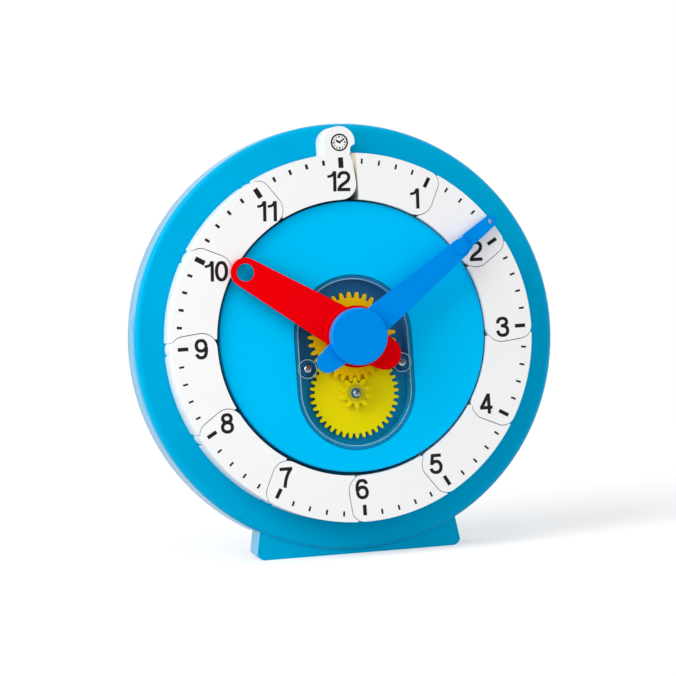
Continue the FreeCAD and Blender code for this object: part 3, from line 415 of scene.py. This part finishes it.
# The hours whose marks are bolder, and by how much
BOLD_HOURS, BOLDER = (10, 11, 12), 1.35
# The digits' measures, as shares of their height: width of a stroke, of the flag of a 1 against
# the other strokes, of a digit, and of a 1
STROKE, FLAG, DIGIT_WIDTH, NARROW_WIDTH = 0.165, 0.80, 0.66, 0.48
MARGIN = STROKE / 2
# Where the strokes of round digits lie, as a share of the margin, so that they reach a little past
# the straight ones; how square an oval is; and the points of a curve, an oval and a small dot
ROUND_INSET, OVAL_POWER = 0.88, 2.15
CURVE_STEPS, OVAL_STEPS, DOT_STEPS = 15, 49, 16
# The grid on which outlines are traced, and how far off a point may lie that is left out
OUTLINE_PITCH, OUTLINE_SLACK = 0.0125, 0.03


def bezier(points):
    """A run of cubic curves, or a straight line where only two points are given."""
    points = [np.array(point, float) for point in points]
    if len(points) == 2:
        return np.array(points)
    steps = np.linspace(0.0, 1.0, CURVE_STEPS)[:, None]
    runs = [points[0][None, :]]
    for start, first, second, end in zip(points[0::3], points[1::3], points[2::3], points[3::3]):
        run = ((1 - steps) ** 3 * start + 3 * (1 - steps) ** 2 * steps * first
               + 3 * (1 - steps) * steps ** 2 * second + steps ** 3 * end)
        runs.append(run[1:])
    return np.concatenate(runs)


def oval(centre_x, centre_y, reach_x, reach_y):
    """A closed stroke, a little squarer than an ellipse."""
    turns = np.linspace(0.0, 2 * math.pi, OVAL_STEPS)
    cosine, sine = np.cos(turns), np.sin(turns)
    power = 2 / OVAL_POWER
    return np.stack([centre_x + reach_x * np.sign(cosine) * np.abs(cosine) ** power,
                     centre_y + reach_y * np.sign(sine) * np.abs(sine) ** power], axis=1)


LEFT, RIGHT = MARGIN, DIGIT_WIDTH - MARGIN
MIDDLE = DIGIT_WIDTH / 2
TOP, BOTTOM = 1.0 - MARGIN * ROUND_INSET, MARGIN * ROUND_INSET
SIX = [bezier([(0.575, 0.735), (0.555, 0.865), (0.47, TOP), (0.345, TOP),
               (0.165, TOP), (LEFT, 0.77), (LEFT, 0.46),
               (LEFT, 0.20), (0.165, BOTTOM), (0.335, BOTTOM),
               (0.49, BOTTOM), (RIGHT, 0.17), (RIGHT, 0.325),
               (RIGHT, 0.485), (0.49, 0.59), (0.345, 0.59),
               (0.21, 0.59), (0.11, 0.50), (0.085, 0.37)])]
DIGITS = {
    "0": [oval(MIDDLE, 0.5, RIGHT - MIDDLE, TOP - 0.5)],
    "1": [bezier([(0.40, 0.0), (0.40, 1.0)]),
          bezier([(0.03, 0.735), (0.22, 0.735), (0.335, 0.80), (0.36, 0.975)])],
    "2": [bezier([(0.080, 0.655), (0.080, 0.83), (0.17, TOP), (0.335, TOP),
                  (0.485, TOP), (0.58, 0.845), (0.58, 0.705),
                  (0.58, 0.56), (0.475, 0.475), (0.34, 0.385),
                  (0.20, 0.29), (0.10, 0.215), (0.075, 0.075)]),
          bezier([(0.004, MARGIN), (0.648, MARGIN)])],
    "3": [bezier([(0.080, 0.685), (0.095, 0.845), (0.185, TOP), (0.325, TOP),
                  (0.46, TOP), (0.548, 0.86), (0.548, 0.75),
                  (0.548, 0.62), (0.45, 0.55), (0.245, 0.55)]),
          bezier([(0.245, 0.55), (0.47, 0.55), (RIGHT, 0.455), (RIGHT, 0.305),
                  (RIGHT, 0.16), (0.48, BOTTOM), (0.325, BOTTOM),
                  (0.17, BOTTOM), (0.075, 0.16), (0.070, 0.325)])],
    "4": [bezier([(0.48, 0.0), (0.48, 1.0)]),
          bezier([(0.02, 0.30), (0.655, 0.30)]),
          bezier([(0.075, 0.285), (0.465, 0.945)])],
    "5": [bezier([(0.135, 1 - MARGIN), (0.600, 1 - MARGIN)]),
          bezier([(0.185, 0.985), (0.105, 0.455)]),
          bezier([(0.105, 0.500), (0.17, 0.575), (0.25, 0.618), (0.335, 0.618),
                  (0.49, 0.618), (RIGHT, 0.505), (RIGHT, 0.345),
                  (RIGHT, 0.17), (0.475, BOTTOM), (0.325, BOTTOM),
                  (0.18, BOTTOM), (0.085, 0.145), (0.070, 0.28)])],
    "6": SIX,
    "7": [bezier([(0.020, 1 - MARGIN), (0.650, 1 - MARGIN)]),
          bezier([(0.590, 0.915), (0.40, 0.70), (0.27, 0.38), (0.235, 0.0)])],
    "8": [oval(MIDDLE, 0.740, 0.212, TOP - 0.740),
          oval(MIDDLE, 0.300, RIGHT - MIDDLE, 0.300 - BOTTOM)],
    "9": [np.array([DIGIT_WIDTH, 1.0]) - stroke for stroke in SIX],
}


def stroke_distance(spots, path, half):
    """How far each spot lies outside a stroke with square ends; inside it is negative."""
    starts, ends = path[:-1], path[1:]
    runs = ends - starts
    spans = (runs ** 2).sum(1)
    offset = spots[:, None, :] - starts[None]
    share = (offset * runs[None]).sum(2) / spans[None]
    held = np.clip(share, 0.0, 1.0)
    apart = np.linalg.norm(offset - held[:, :, None] * runs[None], axis=2)
    nearest = apart.argmin(1)
    row = np.arange(len(spots))
    result = apart[row, nearest] - half
    if np.allclose(path[0], path[-1]):
        return result
    beyond_start = (nearest == 0) & (share[row, nearest] < 0)
    beyond_end = (nearest == len(starts) - 1) & (share[row, nearest] > 1)
    lengths = np.sqrt(spans)
    cross = offset[:, :, 0] * runs[None, :, 1] - offset[:, :, 1] * runs[None, :, 0]
    across = (np.abs(cross) / lengths[None])[row, nearest] - half
    result = np.where(beyond_start, np.maximum(-share[:, 0] * lengths[0], across), result)
    return np.where(beyond_end, np.maximum((share[:, -1] - 1) * lengths[-1], across), result)


def outlines(distance, low, high, pitch):
    """Closed outlines of the region where a distance is negative, by marching squares."""
    across = np.arange(low[0] - 2 * pitch, high[0] + 3 * pitch, pitch)
    up = np.arange(low[1] - 2 * pitch, high[1] + 3 * pitch, pitch)
    grid_x, grid_y = np.meshgrid(across, up, indexing="ij")
    field = distance(np.stack([grid_x.ravel(), grid_y.ravel()], 1)).reshape(grid_x.shape)
    field = np.where(field == 0, 1e-12, field)
    follow, spot = {}, {}

    def crossing(i, j, k, l):
        key = (i, j, k, l) if (i, j) < (k, l) else (k, l, i, j)
        if key not in spot:
            share = field[i, j] / (field[i, j] - field[k, l])
            spot[key] = (across[i] + (across[k] - across[i]) * share,
                         up[j] + (up[l] - up[j]) * share)
        return key

    mixed = np.zeros((len(across) - 1, len(up) - 1), bool)
    signs = field < 0
    for i, j in ((0, 0), (1, 0), (0, 1), (1, 1)):
        mixed |= signs[i:i + mixed.shape[0], j:j + mixed.shape[1]] != signs[:-1, :-1]
    for i, j in zip(*np.nonzero(mixed)):
        ring = [(i, j), (i + 1, j), (i + 1, j + 1), (i, j + 1)]
        inside = [signs[place] for place in ring]
        leaving, entering = [], []
        for corner in range(4):
            here, there = ring[corner], ring[(corner + 1) % 4]
            if inside[corner] and not inside[(corner + 1) % 4]:
                leaving.append(crossing(*here, *there))
            if not inside[corner] and inside[(corner + 1) % 4]:
                entering.append(crossing(*here, *there))
        for start, end in zip(leaving, entering):
            follow[start] = end
    loops = []
    while follow:
        key = next(iter(follow))
        loop = []
        while key in follow:
            loop.append(spot[key])
            key = follow.pop(key)
        loops.append(thinned(np.array(loop), pitch * OUTLINE_SLACK))
    return [loop for loop in loops if len(loop) > 3]


def thinned(loop, tolerance):
    """A loop without the points that lie on a straight line between their neighbours."""
    kept = [0]
    total = len(loop)
    anchor = 0
    for index in range(2, total + 1):
        start, end = loop[anchor], loop[index % total]
        run = end - start
        span = max(np.linalg.norm(run), 1e-12)
        between = loop[anchor + 1:index] - start
        off = np.abs(between[:, 0] * run[1] - between[:, 1] * run[0]) / span
        if off.max() > tolerance:
            anchor = index - 1
            kept.append(anchor)
    return loop[kept]


def digit_loops(character):
    """The outlines of one digit, one unit high."""
    strokes = DIGITS[character]
    halves = [MARGIN * (FLAG if character == "1" and index == 1 else 1.0)
              for index in range(len(strokes))]

    def distance(spots):
        parts = [stroke_distance(spots, path, half) for path, half in zip(strokes, halves)]
        return np.maximum(np.minimum.reduce(parts), spots[:, 1] - 1.0)

    return outside_first(outlines(distance, (0.0, 0.0), (DIGIT_WIDTH, 1.0), OUTLINE_PITCH))


class Print:
    """Ink on one piece, gathered as flat outlines and raised by the thickness of the ink."""

    def __init__(self, thick):
        self.thick = thick
        self.verts, self.faces = [], []

    def add(self, loops):
        """Outlines in dial x and y: the first is the outside, the others are holes in it."""
        rings = [[Vector((x, y, 0.0)) for x, y in loop] for loop in loops]
        points = [point for ring in rings for point in ring]
        base, total = len(self.verts), len(points)
        for level in (LINK_FACE, LINK_FACE + self.thick):
            self.verts += [from_dial(point.x, point.y, level) for point in points]
        for a, b, c in tessellate_polygon(rings):
            spin = (points[b] - points[a]).cross(points[c] - points[a]).z
            a, b, c = (a, b, c) if spin > 0 else (a, c, b)
            self.faces += [(base + total + a, base + total + b, base + total + c),
                           (base + a, base + c, base + b)]
        start = base
        for loop in loops:
            count = len(loop)
            for index in range(count):
                here, there = start + index, start + (index + 1) % count
                self.faces.append((here, there, there + total, here + total))
            start += count

    def piece(self, name, finish, body):
        """Makes the mesh and lets it ride."""
        make_piece(name, self.verts, self.faces, finish, body)


def outside_first(loops):
    """The outlines of one shape, with the outside before its holes."""
    def area(loop):
        x, y = loop[:, 0], loop[:, 1]
        return 0.5 * float((x * np.roll(y, -1) - y * np.roll(x, -1)).sum())
    largest = max(loops, key=lambda loop: abs(area(loop)))
    return [largest] + [loop for loop in loops if loop is not largest]


def rectangle(centre, angle, long, wide):
    """Corners of a bar whose length runs along a clockwise angle."""
    way = spoke(angle, 1.0)
    along, side = way * long / 2, np.array([way[1], -way[0]]) * wide / 2
    return np.array([centre - along - side, centre - along + side,
                     centre + along + side, centre + along - side])


def round_loop(centre, radius, steps=48):
    turns = np.linspace(0.0, 2 * math.pi, steps, endpoint=False)
    return np.stack([centre[0] + radius * np.cos(turns), centre[1] + radius * np.sin(turns)], 1)


# ---------------------------------------------------------------------------------------------
# Pieces
# ---------------------------------------------------------------------------------------------
# Where one colour gives way to another, in metres
RIM_FADE = 0.0003                   # either side of the dial disc's rim
FACE_FADE = 0.0005                  # behind the outer ring's face
BEAD_FADE = 0.0002                  # either side of the pane's bead
AXLE_FADE = (0.0058, 0.0054)        # haze on the pane round the idler's axle
CUP_FADE = (0.0050, 0.0044)         # dark cup round a side screw
# The tray's bottom-to-top fade is painted shade, darkest at the top under the hands
TRAY_SHADE_FADE = (-0.046, 0.004)         # tray, from bottom to top
# Painted light and shade on each gear: lighter towards the teeth, darker towards the axle
GEAR_SHADE_FADE = (0.018, 0.031)          # gear, from the axle outwards
# The first link's cream step: depth under the links' face, and its reach right and up the dial
STEP_DEPTH = (LINK_FACE - 0.0008, LINK_FACE - 0.0012)
STEP_RIGHT, STEP_UP = (0.018, 0.014), (0.076, 0.080)
TRAY_SHADOW = (0.0, 0.02, 0.05)


def settings(context):
    scene = context.scene
    return scene.clock_sizes, scene.clock_colours


class CLOCK_OT_casing(bpy.types.Operator):
    """Finish the casing: ring, side wall, foot, dial disc, rear cover and its screws"""
    bl_idname = "clock.casing"
    bl_label = "Casing"

    def execute(self, context):
        sizes, colours = settings(context)
        shell = plastic("casing_plastic", colours.ring, polish=0.20)
        on_disc = shell.from_axis(DIAL_ORIGIN).between(DISC_RADIUS + RIM_FADE,
                                                       DISC_RADIUS - RIM_FADE)
        raised = shell.along(DIAL_OUT, DIAL_ORIGIN).between(RING_FACE - FACE_FADE, RING_FACE)
        ring = shell.clouded(colours.ring, 0.96, 1.04, scale=30.0)
        disc = shell.clouded(colours.disc, 0.97, 1.03, scale=30.0)
        shell.feed("Base Color", shell.mix(on_disc * raised, ring, disc))
        dress(shell, "front_shell")
        cover = moulded("cover_plastic", tinted(colours.ring, 0.96), polish=0.42,
                        grain=0.000012, grain_scale=1500.0)
        dress(cover, "rear_cover")
        dress(steel("cover_screw_steel", colours.steel, 0.36), "cover_screws")
        soften(["front_shell", "rear_cover"], sizes.casing_edge)
        soften(["cover_screws"], sizes.screw_edge, 2)
        return {"FINISHED"}


class CLOCK_OT_window(bpy.types.Operator):
    """Finish the gear window: the dark tray, the clear pane with its bead, and its screws"""
    bl_idname = "clock.window"
    bl_label = "Gear window"

    def execute(self, context):
        sizes, colours = settings(context)
        self.finish_tray(colours)
        self.finish_pane(sizes, colours)
        self.lay_beads(sizes, colours)
        dress(steel("pane_screw_steel", colours.steel, 0.3), "pane_screws")
        soften(["pane_screws"], sizes.screw_edge, 2)
        return {"FINISHED"}

    def finish_tray(self, colours):
        """Darker plastic than the disc's, lightest at the bottom and darker towards the top with
        painted shade from the hands, with a cup at each screw.
        """
        tray = plastic("tray_plastic", colours.tray_high, polish=0.34)
        # Painted shade: the tray darkens from bottom to top, as under the hands' shadow
        up = tray.along(DIAL_UP, DIAL_ORIGIN).between(*TRAY_SHADE_FADE)
        shade = tray.mix(up, colours.tray_low, colours.tray_high)
        cups = sum(tray.from_axis(from_dial(*spot, 0.0)).between(*CUP_FADE)
                   for spot in SIDE_SCREWS)
        cupped = tray.mix(cups * 0.6, shade, colours.boss)
        tray.feed("Base Color", tray.mix(tray.noise(45.0, 3.0) * 0.16, cupped, TRAY_SHADOW))
        dress(tray, "gear_tray")

    def finish_pane(self, sizes, colours):
        """Clear plastic, a little cloudier and bluer outside the bead."""
        pane = Finish("clear_pane", IOR=ACRYLIC_IOR)
        edge = WINDOW_REACH - sizes.bead_inset
        rim = pane.from_window_line().between(edge - BEAD_FADE, edge + BEAD_FADE)
        axle = pane.from_axis(IDLER_POINT).between(*AXLE_FADE)
        haze = pane.clouded(colours.pane, 0.9, 1.0, scale=26.0, detail=2.0)
        pane.feed("Base Color", pane.mix(rim, haze, colours.pane_rim))
        pane.feed("Alpha", 0.015 + pane.noise(60.0, 4.0) * 0.025 + rim * 0.42 + axle * 0.10)
        pane.roughen(0.03, 0.05, scale=140.0, detail=5.0)
        dress(pane, "window_pane")

    def lay_beads(self, sizes, colours):
        """Half-round beads moulded on the pane: one along its edge, one round each screw's cup."""
        bead = Finish("bead_highlight_plastic", IOR=ACRYLIC_IOR)
        # The pale base colour paints the highlight that the pane's edges catch
        bead.feed("Base Color", bead.clouded(colours.bead, 0.85, 1.0, scale=160.0))
        bead.roughen(0.08, 0.08, scale=300.0, detail=3.0)
        bead.feed("Alpha", 0.30 + bead.noise(90.0, 3.0) * 0.30)
        loops = [slot_loop(WINDOW_REACH - sizes.bead_inset)]
        loops += [round_loop(spot, SCREW_CUP) for spot in SIDE_SCREWS]
        verts, faces = [], []
        for loop in loops:
            add_bead(verts, faces, loop, sizes.bead)
        make_piece("pane_beads", verts, faces, bead, "housing", smooth=True)


def slot_loop(reach, steps=48):
    """An outline along the window's edge: a half circle, and another one below it."""
    upper = np.linspace(0.0, math.pi, steps)
    over = np.stack([reach * np.cos(upper), reach * np.sin(upper) + WINDOW_HIGH], 1)
    under = np.stack([-reach * np.cos(upper), -reach * np.sin(upper) + WINDOW_LOW], 1)
    return np.concatenate([over, under])


def add_bead(verts, faces, loop, radius, steps=7):
    """A half-round bead on the pane's face, along a closed outline."""
    ahead, behind = np.roll(loop, -1, 0), np.roll(loop, 1, 0)
    run = (ahead - behind) / np.linalg.norm(ahead - behind, axis=1)[:, None]
    side = np.stack([run[:, 1], -run[:, 0]], 1)
    base, count = len(verts), len(loop)
    for turn in np.linspace(0.0, math.pi, steps):
        ring = loop + side * radius * math.cos(turn)
        verts += [from_dial(x, y, PANE_FACE + radius * math.sin(turn)) for x, y in ring]
    for step in range(steps):
        low, high = base + step * count, base + (step + 1) % steps * count
        faces += [(low + i, low + (i + 1) % count, high + (i + 1) % count, high + i)
                  for i in range(count)]


def make_piece(name, verts, faces, finish, body, smooth=False):
    """A mesh piece in the row frame that rides with a body."""
    mesh = bpy.data.meshes.new(name)
    mesh.from_pydata([tuple(vert) for vert in verts], [], faces)
    work = bmesh.new()
    work.from_mesh(mesh)
    bmesh.ops.recalc_face_normals(work, faces=work.faces)
    work.to_mesh(mesh)
    work.free()
    if smooth:
        mesh.shade_smooth()
    else:
        mesh.shade_flat()
    mesh.materials.append(finish.material)
    piece = bpy.data.objects.new(name, mesh)
    bpy.context.scene.collection.objects.link(piece)
    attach(piece, body)


class CLOCK_OT_gears(bpy.types.Operator):
    """Finish the gear train, the arbor and its clip"""
    bl_idname = "clock.gears"
    bl_label = "Gear train"

    def execute(self, context):
        colours = context.scene.clock_colours
        # The hour wheel gets the yellow with the hand's red reflection and shade painted in
        for name, point, shade in (("minute_pinion", DIAL_ORIGIN, colours.gear),
                                   ("idler_gear", IDLER_POINT, colours.gear),
                                   ("hour_wheel", DIAL_ORIGIN, colours.gear_warm)):
            finish = plastic(name + "_plastic", shade, polish=0.33)
            # Painted light and shade: the gear gets lighter from the axle out to its teeth
            out = finish.from_axis(point).between(*GEAR_SHADE_FADE)
            clouds = finish.clouded(shade, 0.94, 1.04, scale=70.0)
            finish.feed("Base Color", finish.mix(out * 0.35, clouds, tinted(shade, 1.15)))
            dress(finish, name)
        dress(steel("arbor_steel", colours.steel, 0.25), "minute_arbor")
        dress(steel("clip_steel", tinted(colours.steel, 0.6), 0.4), "arbor_clip")
        return {"FINISHED"}


class CLOCK_OT_hands(bpy.types.Operator):
    """Finish the two hands"""
    bl_idname = "clock.hands"
    bl_label = "Hands"

    def execute(self, context):
        sizes, colours = settings(context)
        for name, shade in (("hour_hand", colours.hour_red), ("minute_hand", colours.minute_blue)):
            dress(moulded(name + "_plastic", shade, polish=0.24, cloud=0.04), name)
            soften([name], sizes.hand_edge)
        return {"FINISHED"}


class CLOCK_OT_links(bpy.types.Operator):
    """Finish the twelve links of the number line"""
    bl_idname = "clock.links"
    bl_label = "Number line links"

    def execute(self, context):
        sizes, colours = settings(context)
        names = [link_name(hour) for hour in HOURS]
        dress(self.first_link(colours), names[0])
        dress(moulded("link_plastic", colours.link, polish=0.36, cloud=0.012), *names[1:])
        soften(names, sizes.link_edge)
        return {"FINISHED"}

    def first_link(self, colours):
        """The first link's plastic, with a cream tint in the sunken step beside the last link's
        end.
        """
        finish = plastic("first_link_plastic", colours.link, polish=0.36)
        sunk = finish.along(DIAL_OUT, DIAL_ORIGIN).between(*STEP_DEPTH)
        beside = finish.along(DIAL_RIGHT, DIAL_ORIGIN).between(*STEP_RIGHT)
        above = finish.along(DIAL_UP, DIAL_ORIGIN).between(*STEP_UP)
        clouds = finish.clouded(colours.link, 0.99, 1.01, scale=38.0)
        finish.feed("Base Color", finish.mix(sunk * beside * above, clouds, colours.step))
        return finish


# The small clock on the tab, as shares of its radius: the inside of its ring, the circle of its
# dots, the radii of a quarter's dot and of the others, and of its hub
SMALL_RING, SMALL_CIRCLE, QUARTER_DOT, SMALL_DOT, SMALL_HUB = 0.82, 0.64, 0.105, 0.07, 0.13
# Its hands: clockwise angle, and length and width as such shares
SMALL_HANDS = ((304.0, 0.45, 0.22), (56.0, 0.68, 0.17))


def character_width(character):
    return NARROW_WIDTH if character == "1" else DIGIT_WIDTH


class CLOCK_OT_prints(bpy.types.Operator):
    """Print the hour numbers, the minute marks and the small clock on the pull tab"""
    bl_idname = "clock.prints"
    bl_label = "Numbers and marks"

    def execute(self, context):
        sizes, colours = settings(context)
        finish = ink(colours.print_black)
        shapes = {character: digit_loops(character) for character in DIGITS}
        for hour in HOURS:
            sheet = Print(sizes.ink)
            self.print_number(sheet, sizes, shapes, hour)
            self.print_marks(sheet, sizes, hour)
            sheet.piece(f"print_{hour:02d}", finish, link_body(hour))
        sheet = Print(sizes.ink)
        self.print_small_clock(sheet, on_line(sizes.tab_circle, 0.0), sizes.tab_print)
        sheet.piece("print_tab", finish, link_body(12))
        return {"FINISHED"}

    def print_number(self, sheet, sizes, shapes, hour):
        """One or two upright digits, centred on the hour's own place."""
        high, space = sizes.digit_height, sizes.digit_space
        widths = [character_width(character) * high for character in str(hour)]
        aside, above, lean = NUMBER_PLACES[hour]
        middle = on_line(sizes.digit_circle, hour * HOUR_STEP) + np.array([aside, above]) / 1000
        cosine, sine = math.cos(math.radians(lean)), math.sin(math.radians(lean))
        turn = np.array([[cosine, -sine], [sine, cosine]])
        left = -(sum(widths) + space * (len(widths) - 1)) / 2
        for character, width in zip(str(hour), widths):
            corner = np.array([left, -high / 2])
            sheet.add([(loop * high + corner) @ turn + middle for loop in shapes[character]])
            left += width + space

    def print_marks(self, sheet, sizes, hour):
        """Four thin minute marks and the thick one at the hour."""
        start = (hour - 1) * HOUR_STEP
        weight = BOLDER if hour in BOLD_HOURS else 1.0
        bars = [(start + FIRST_MARK + minute * MARK_STEP, sizes.minute_circle,
                 sizes.minute_length, sizes.minute_width) for minute in range(4)]
        lift = sizes.top_lift if hour == 12 else 0.0
        bars.append((hour * HOUR_STEP, sizes.hour_circle + lift, sizes.hour_length,
                     sizes.hour_width))
        for angle, circle, long, wide in bars:
            sheet.add([rectangle(on_line(circle, angle), angle, long, wide * weight)])

    def print_small_clock(self, sheet, centre, radius):
        """A ring, twelve dots and two hands."""
        sheet.add([round_loop(centre, radius), round_loop(centre, radius * SMALL_RING)])
        for hour in HOURS:
            size = radius * (QUARTER_DOT if hour % 3 == 0 else SMALL_DOT)
            spot = centre + spoke(hour * HOUR_STEP, radius * SMALL_CIRCLE)
            sheet.add([round_loop(spot, size, DOT_STEPS)])
        sheet.add([round_loop(centre, radius * SMALL_HUB, DOT_STEPS)])
        for angle, reach, width in SMALL_HANDS:
            middle = centre + spoke(angle, radius * reach / 2)
            sheet.add([rectangle(middle, angle, radius * reach, radius * width)])


# ---------------------------------------------------------------------------------------------
# Studio
# ---------------------------------------------------------------------------------------------
FLOOR_REACH, FLOOR_GLOW = 60.0, 0.46
# The background's light, how dim it is in reflections in front of the clock, and between which
# depths of view the reflections grow to white behind it
WORLD_LIGHT, DARK_ROOM, ROOM_FADE = 0.66, 0.05, (-0.55, 0.40)
SENSOR_WIDTH = 36.0
LAMPS = (
    # name, azimuth and elevation in degrees, power, spread in degrees
    ("key", -62.0, 42.0, 1.34, 34.0),
    ("fill", 36.0, 12.0, 0.62, 60.0),
)
SOFTBOX_AZIMUTH, SOFTBOX_ELEVATION = -70.0, 16.0
SOFTBOX_DISTANCE, SOFTBOX_SIZE, SOFTBOX_POWER = 0.75, 0.45, 2.0


def floor_finish(shade):
    """Pale floor that looks white to the camera and in reflections, and keeps its shadow."""
    finish = Finish("studio_floor", Roughness=0.9, Specular_IOR_Level=0.0,
                    Emission_Strength=FLOOR_GLOW)
    finish.feed("Base Color", finish.clouded(shade, 0.99, 1.0, scale=3.0, detail=2.0))
    seen = finish.ray("Is Camera Ray", "Is Glossy Ray")
    finish.feed("Emission Color", finish.mix(seen, BLACK, WHITE))
    return finish


class CLOCK_OT_studio(bpy.types.Operator):
    """Set up the floor, the lamps, the background and the camera"""
    bl_idname = "clock.studio"
    bl_label = "Studio"

    def execute(self, context):
        scene = context.scene
        self.lay_floor(scene)
        self.hang_lamps(scene)
        self.light_world(scene)
        self.place_camera(scene)
        scene.view_settings.view_transform = "Standard"
        return {"FINISHED"}

    def lay_floor(self, scene):
        mesh = bpy.data.meshes.new("floor")
        corners = [(-1, -1), (1, -1), (1, 1), (-1, 1)]
        mesh.from_pydata([(x * FLOOR_REACH, y * FLOOR_REACH, 0.0) for x, y in corners], [],
                         [(0, 1, 2, 3)])
        mesh.materials.append(floor_finish(scene.clock_studio.floor).material)
        floor = bpy.data.objects.new("floor", mesh)
        scene.collection.objects.link(floor)

    def hang_lamps(self, scene):
        for name, azimuth, elevation, power, spread in LAMPS:
            lamp = bpy.data.lights.new(name, "SUN")
            lamp.energy = power
            lamp.angle = math.radians(spread)
            self.hang(scene, lamp, outward(azimuth, elevation), 1.0)
        softbox = bpy.data.lights.new("softbox", "AREA")
        softbox.shape = "DISK"
        softbox.size = SOFTBOX_SIZE
        softbox.energy = SOFTBOX_POWER
        self.hang(scene, softbox, outward(SOFTBOX_AZIMUTH, SOFTBOX_ELEVATION), SOFTBOX_DISTANCE)

    def hang(self, scene, lamp, way, distance):
        """Hangs a lamp that looks at the middle of the dial."""
        holder = bpy.data.objects.new(lamp.name, lamp)
        turn = way.to_track_quat("Z", "Y").to_matrix().to_4x4()
        place = from_dial(0.0, 0.0, LINK_FACE) + way * distance
        holder.matrix_world = Matrix.Translation(place) @ turn
        holder.visible_glossy = lamp.name != "fill"
        scene.collection.objects.link(holder)

    def light_world(self, scene):
        """White where it is seen; in reflections white behind the clock and dim in front of it."""
        world = bpy.data.worlds.new("studio")
        world.use_nodes = True
        scene.world = world
        nodes = Nodes(world.node_tree)
        way = nodes.node("ShaderNodeTexCoord")
        back = nodes.node("ShaderNodeSeparateXYZ", {}, {0: way}, output=1)
        room = DARK_ROOM + back.between(*ROOM_FADE) * (1.0 - DARK_ROOM)
        mirrored = nodes.ray("Is Glossy Ray", "Is Transmission Ray")
        seen = nodes.ray("Is Camera Ray")
        strength = WORLD_LIGHT + mirrored * (room - WORLD_LIGHT) + seen * (1.0 - WORLD_LIGHT)
        background = world.node_tree.nodes["Background"]
        nodes.connect(background.inputs["Strength"], strength)
        nodes.connect(background.inputs["Color"], WHITE)

    def place_camera(self, scene):
        studio = scene.clock_studio
        data = bpy.data.cameras.new("camera")
        data.lens = studio.lens
        data.sensor_width = SENSOR_WIDTH
        data.clip_end = 4 * FLOOR_REACH
        camera = bpy.data.objects.new("camera", data)
        scene.collection.objects.link(camera)
        away = outward(math.degrees(studio.azimuth), math.degrees(studio.elevation))
        turn = away.to_track_quat("Z", "Y").to_matrix() @ Matrix.Rotation(studio.roll, 3, "Z")
        place = (from_dial(0.0, 0.0, LINK_FACE) + away * studio.distance
                 - turn.col[0] * studio.aside - turn.col[1] * studio.above)
        camera.matrix_world = Matrix.Translation(place) @ turn.to_4x4()
        scene.camera = camera


def outward(azimuth, elevation):
    """Direction from the clock towards a camera or lamp: azimuth 0 is in front, 90 at the right."""
    across, up = math.radians(azimuth), math.radians(elevation)
    return Vector((math.sin(across) * math.cos(up), -math.cos(across) * math.cos(up), math.sin(up)))


class CLOCK_PT_panel(bpy.types.Panel):
    """Sidebar panel with the clock's pieces and its sizes and colours"""
    bl_idname = "CLOCK_PT_panel"
    bl_label = "Teaching clock"
    bl_space_type = "VIEW_3D"
    bl_region_type = "UI"
    bl_category = "Clock"

    def draw(self, context):
        for step in STEPS:
            self.layout.operator(step.bl_idname)
        for group in GROUPS:
            values = getattr(context.scene, group)
            box = self.layout.box()
            for name in values.__annotations__:
                box.prop(values, name)


GROUPS = {"clock_sizes": ClockSizes, "clock_colours": ClockColours, "clock_studio": ClockStudio}
STEPS = [CLOCK_OT_casing, CLOCK_OT_window, CLOCK_OT_gears, CLOCK_OT_hands, CLOCK_OT_links,
         CLOCK_OT_prints, CLOCK_OT_studio]


def register():
    for item in [*GROUPS.values(), *STEPS, CLOCK_PT_panel]:
        bpy.utils.register_class(item)
    for name, group in GROUPS.items():
        setattr(bpy.types.Scene, name, PointerProperty(type=group))


def unregister():
    for name in GROUPS:
        delattr(bpy.types.Scene, name)
    for item in reversed([*GROUPS.values(), *STEPS, CLOCK_PT_panel]):
        bpy.utils.unregister_class(item)


def main():
    register()
    for step in STEPS:
        group, name = step.bl_idname.split(".")
        getattr(getattr(bpy.ops, group), name)()


if __name__ == "__main__":
    main()
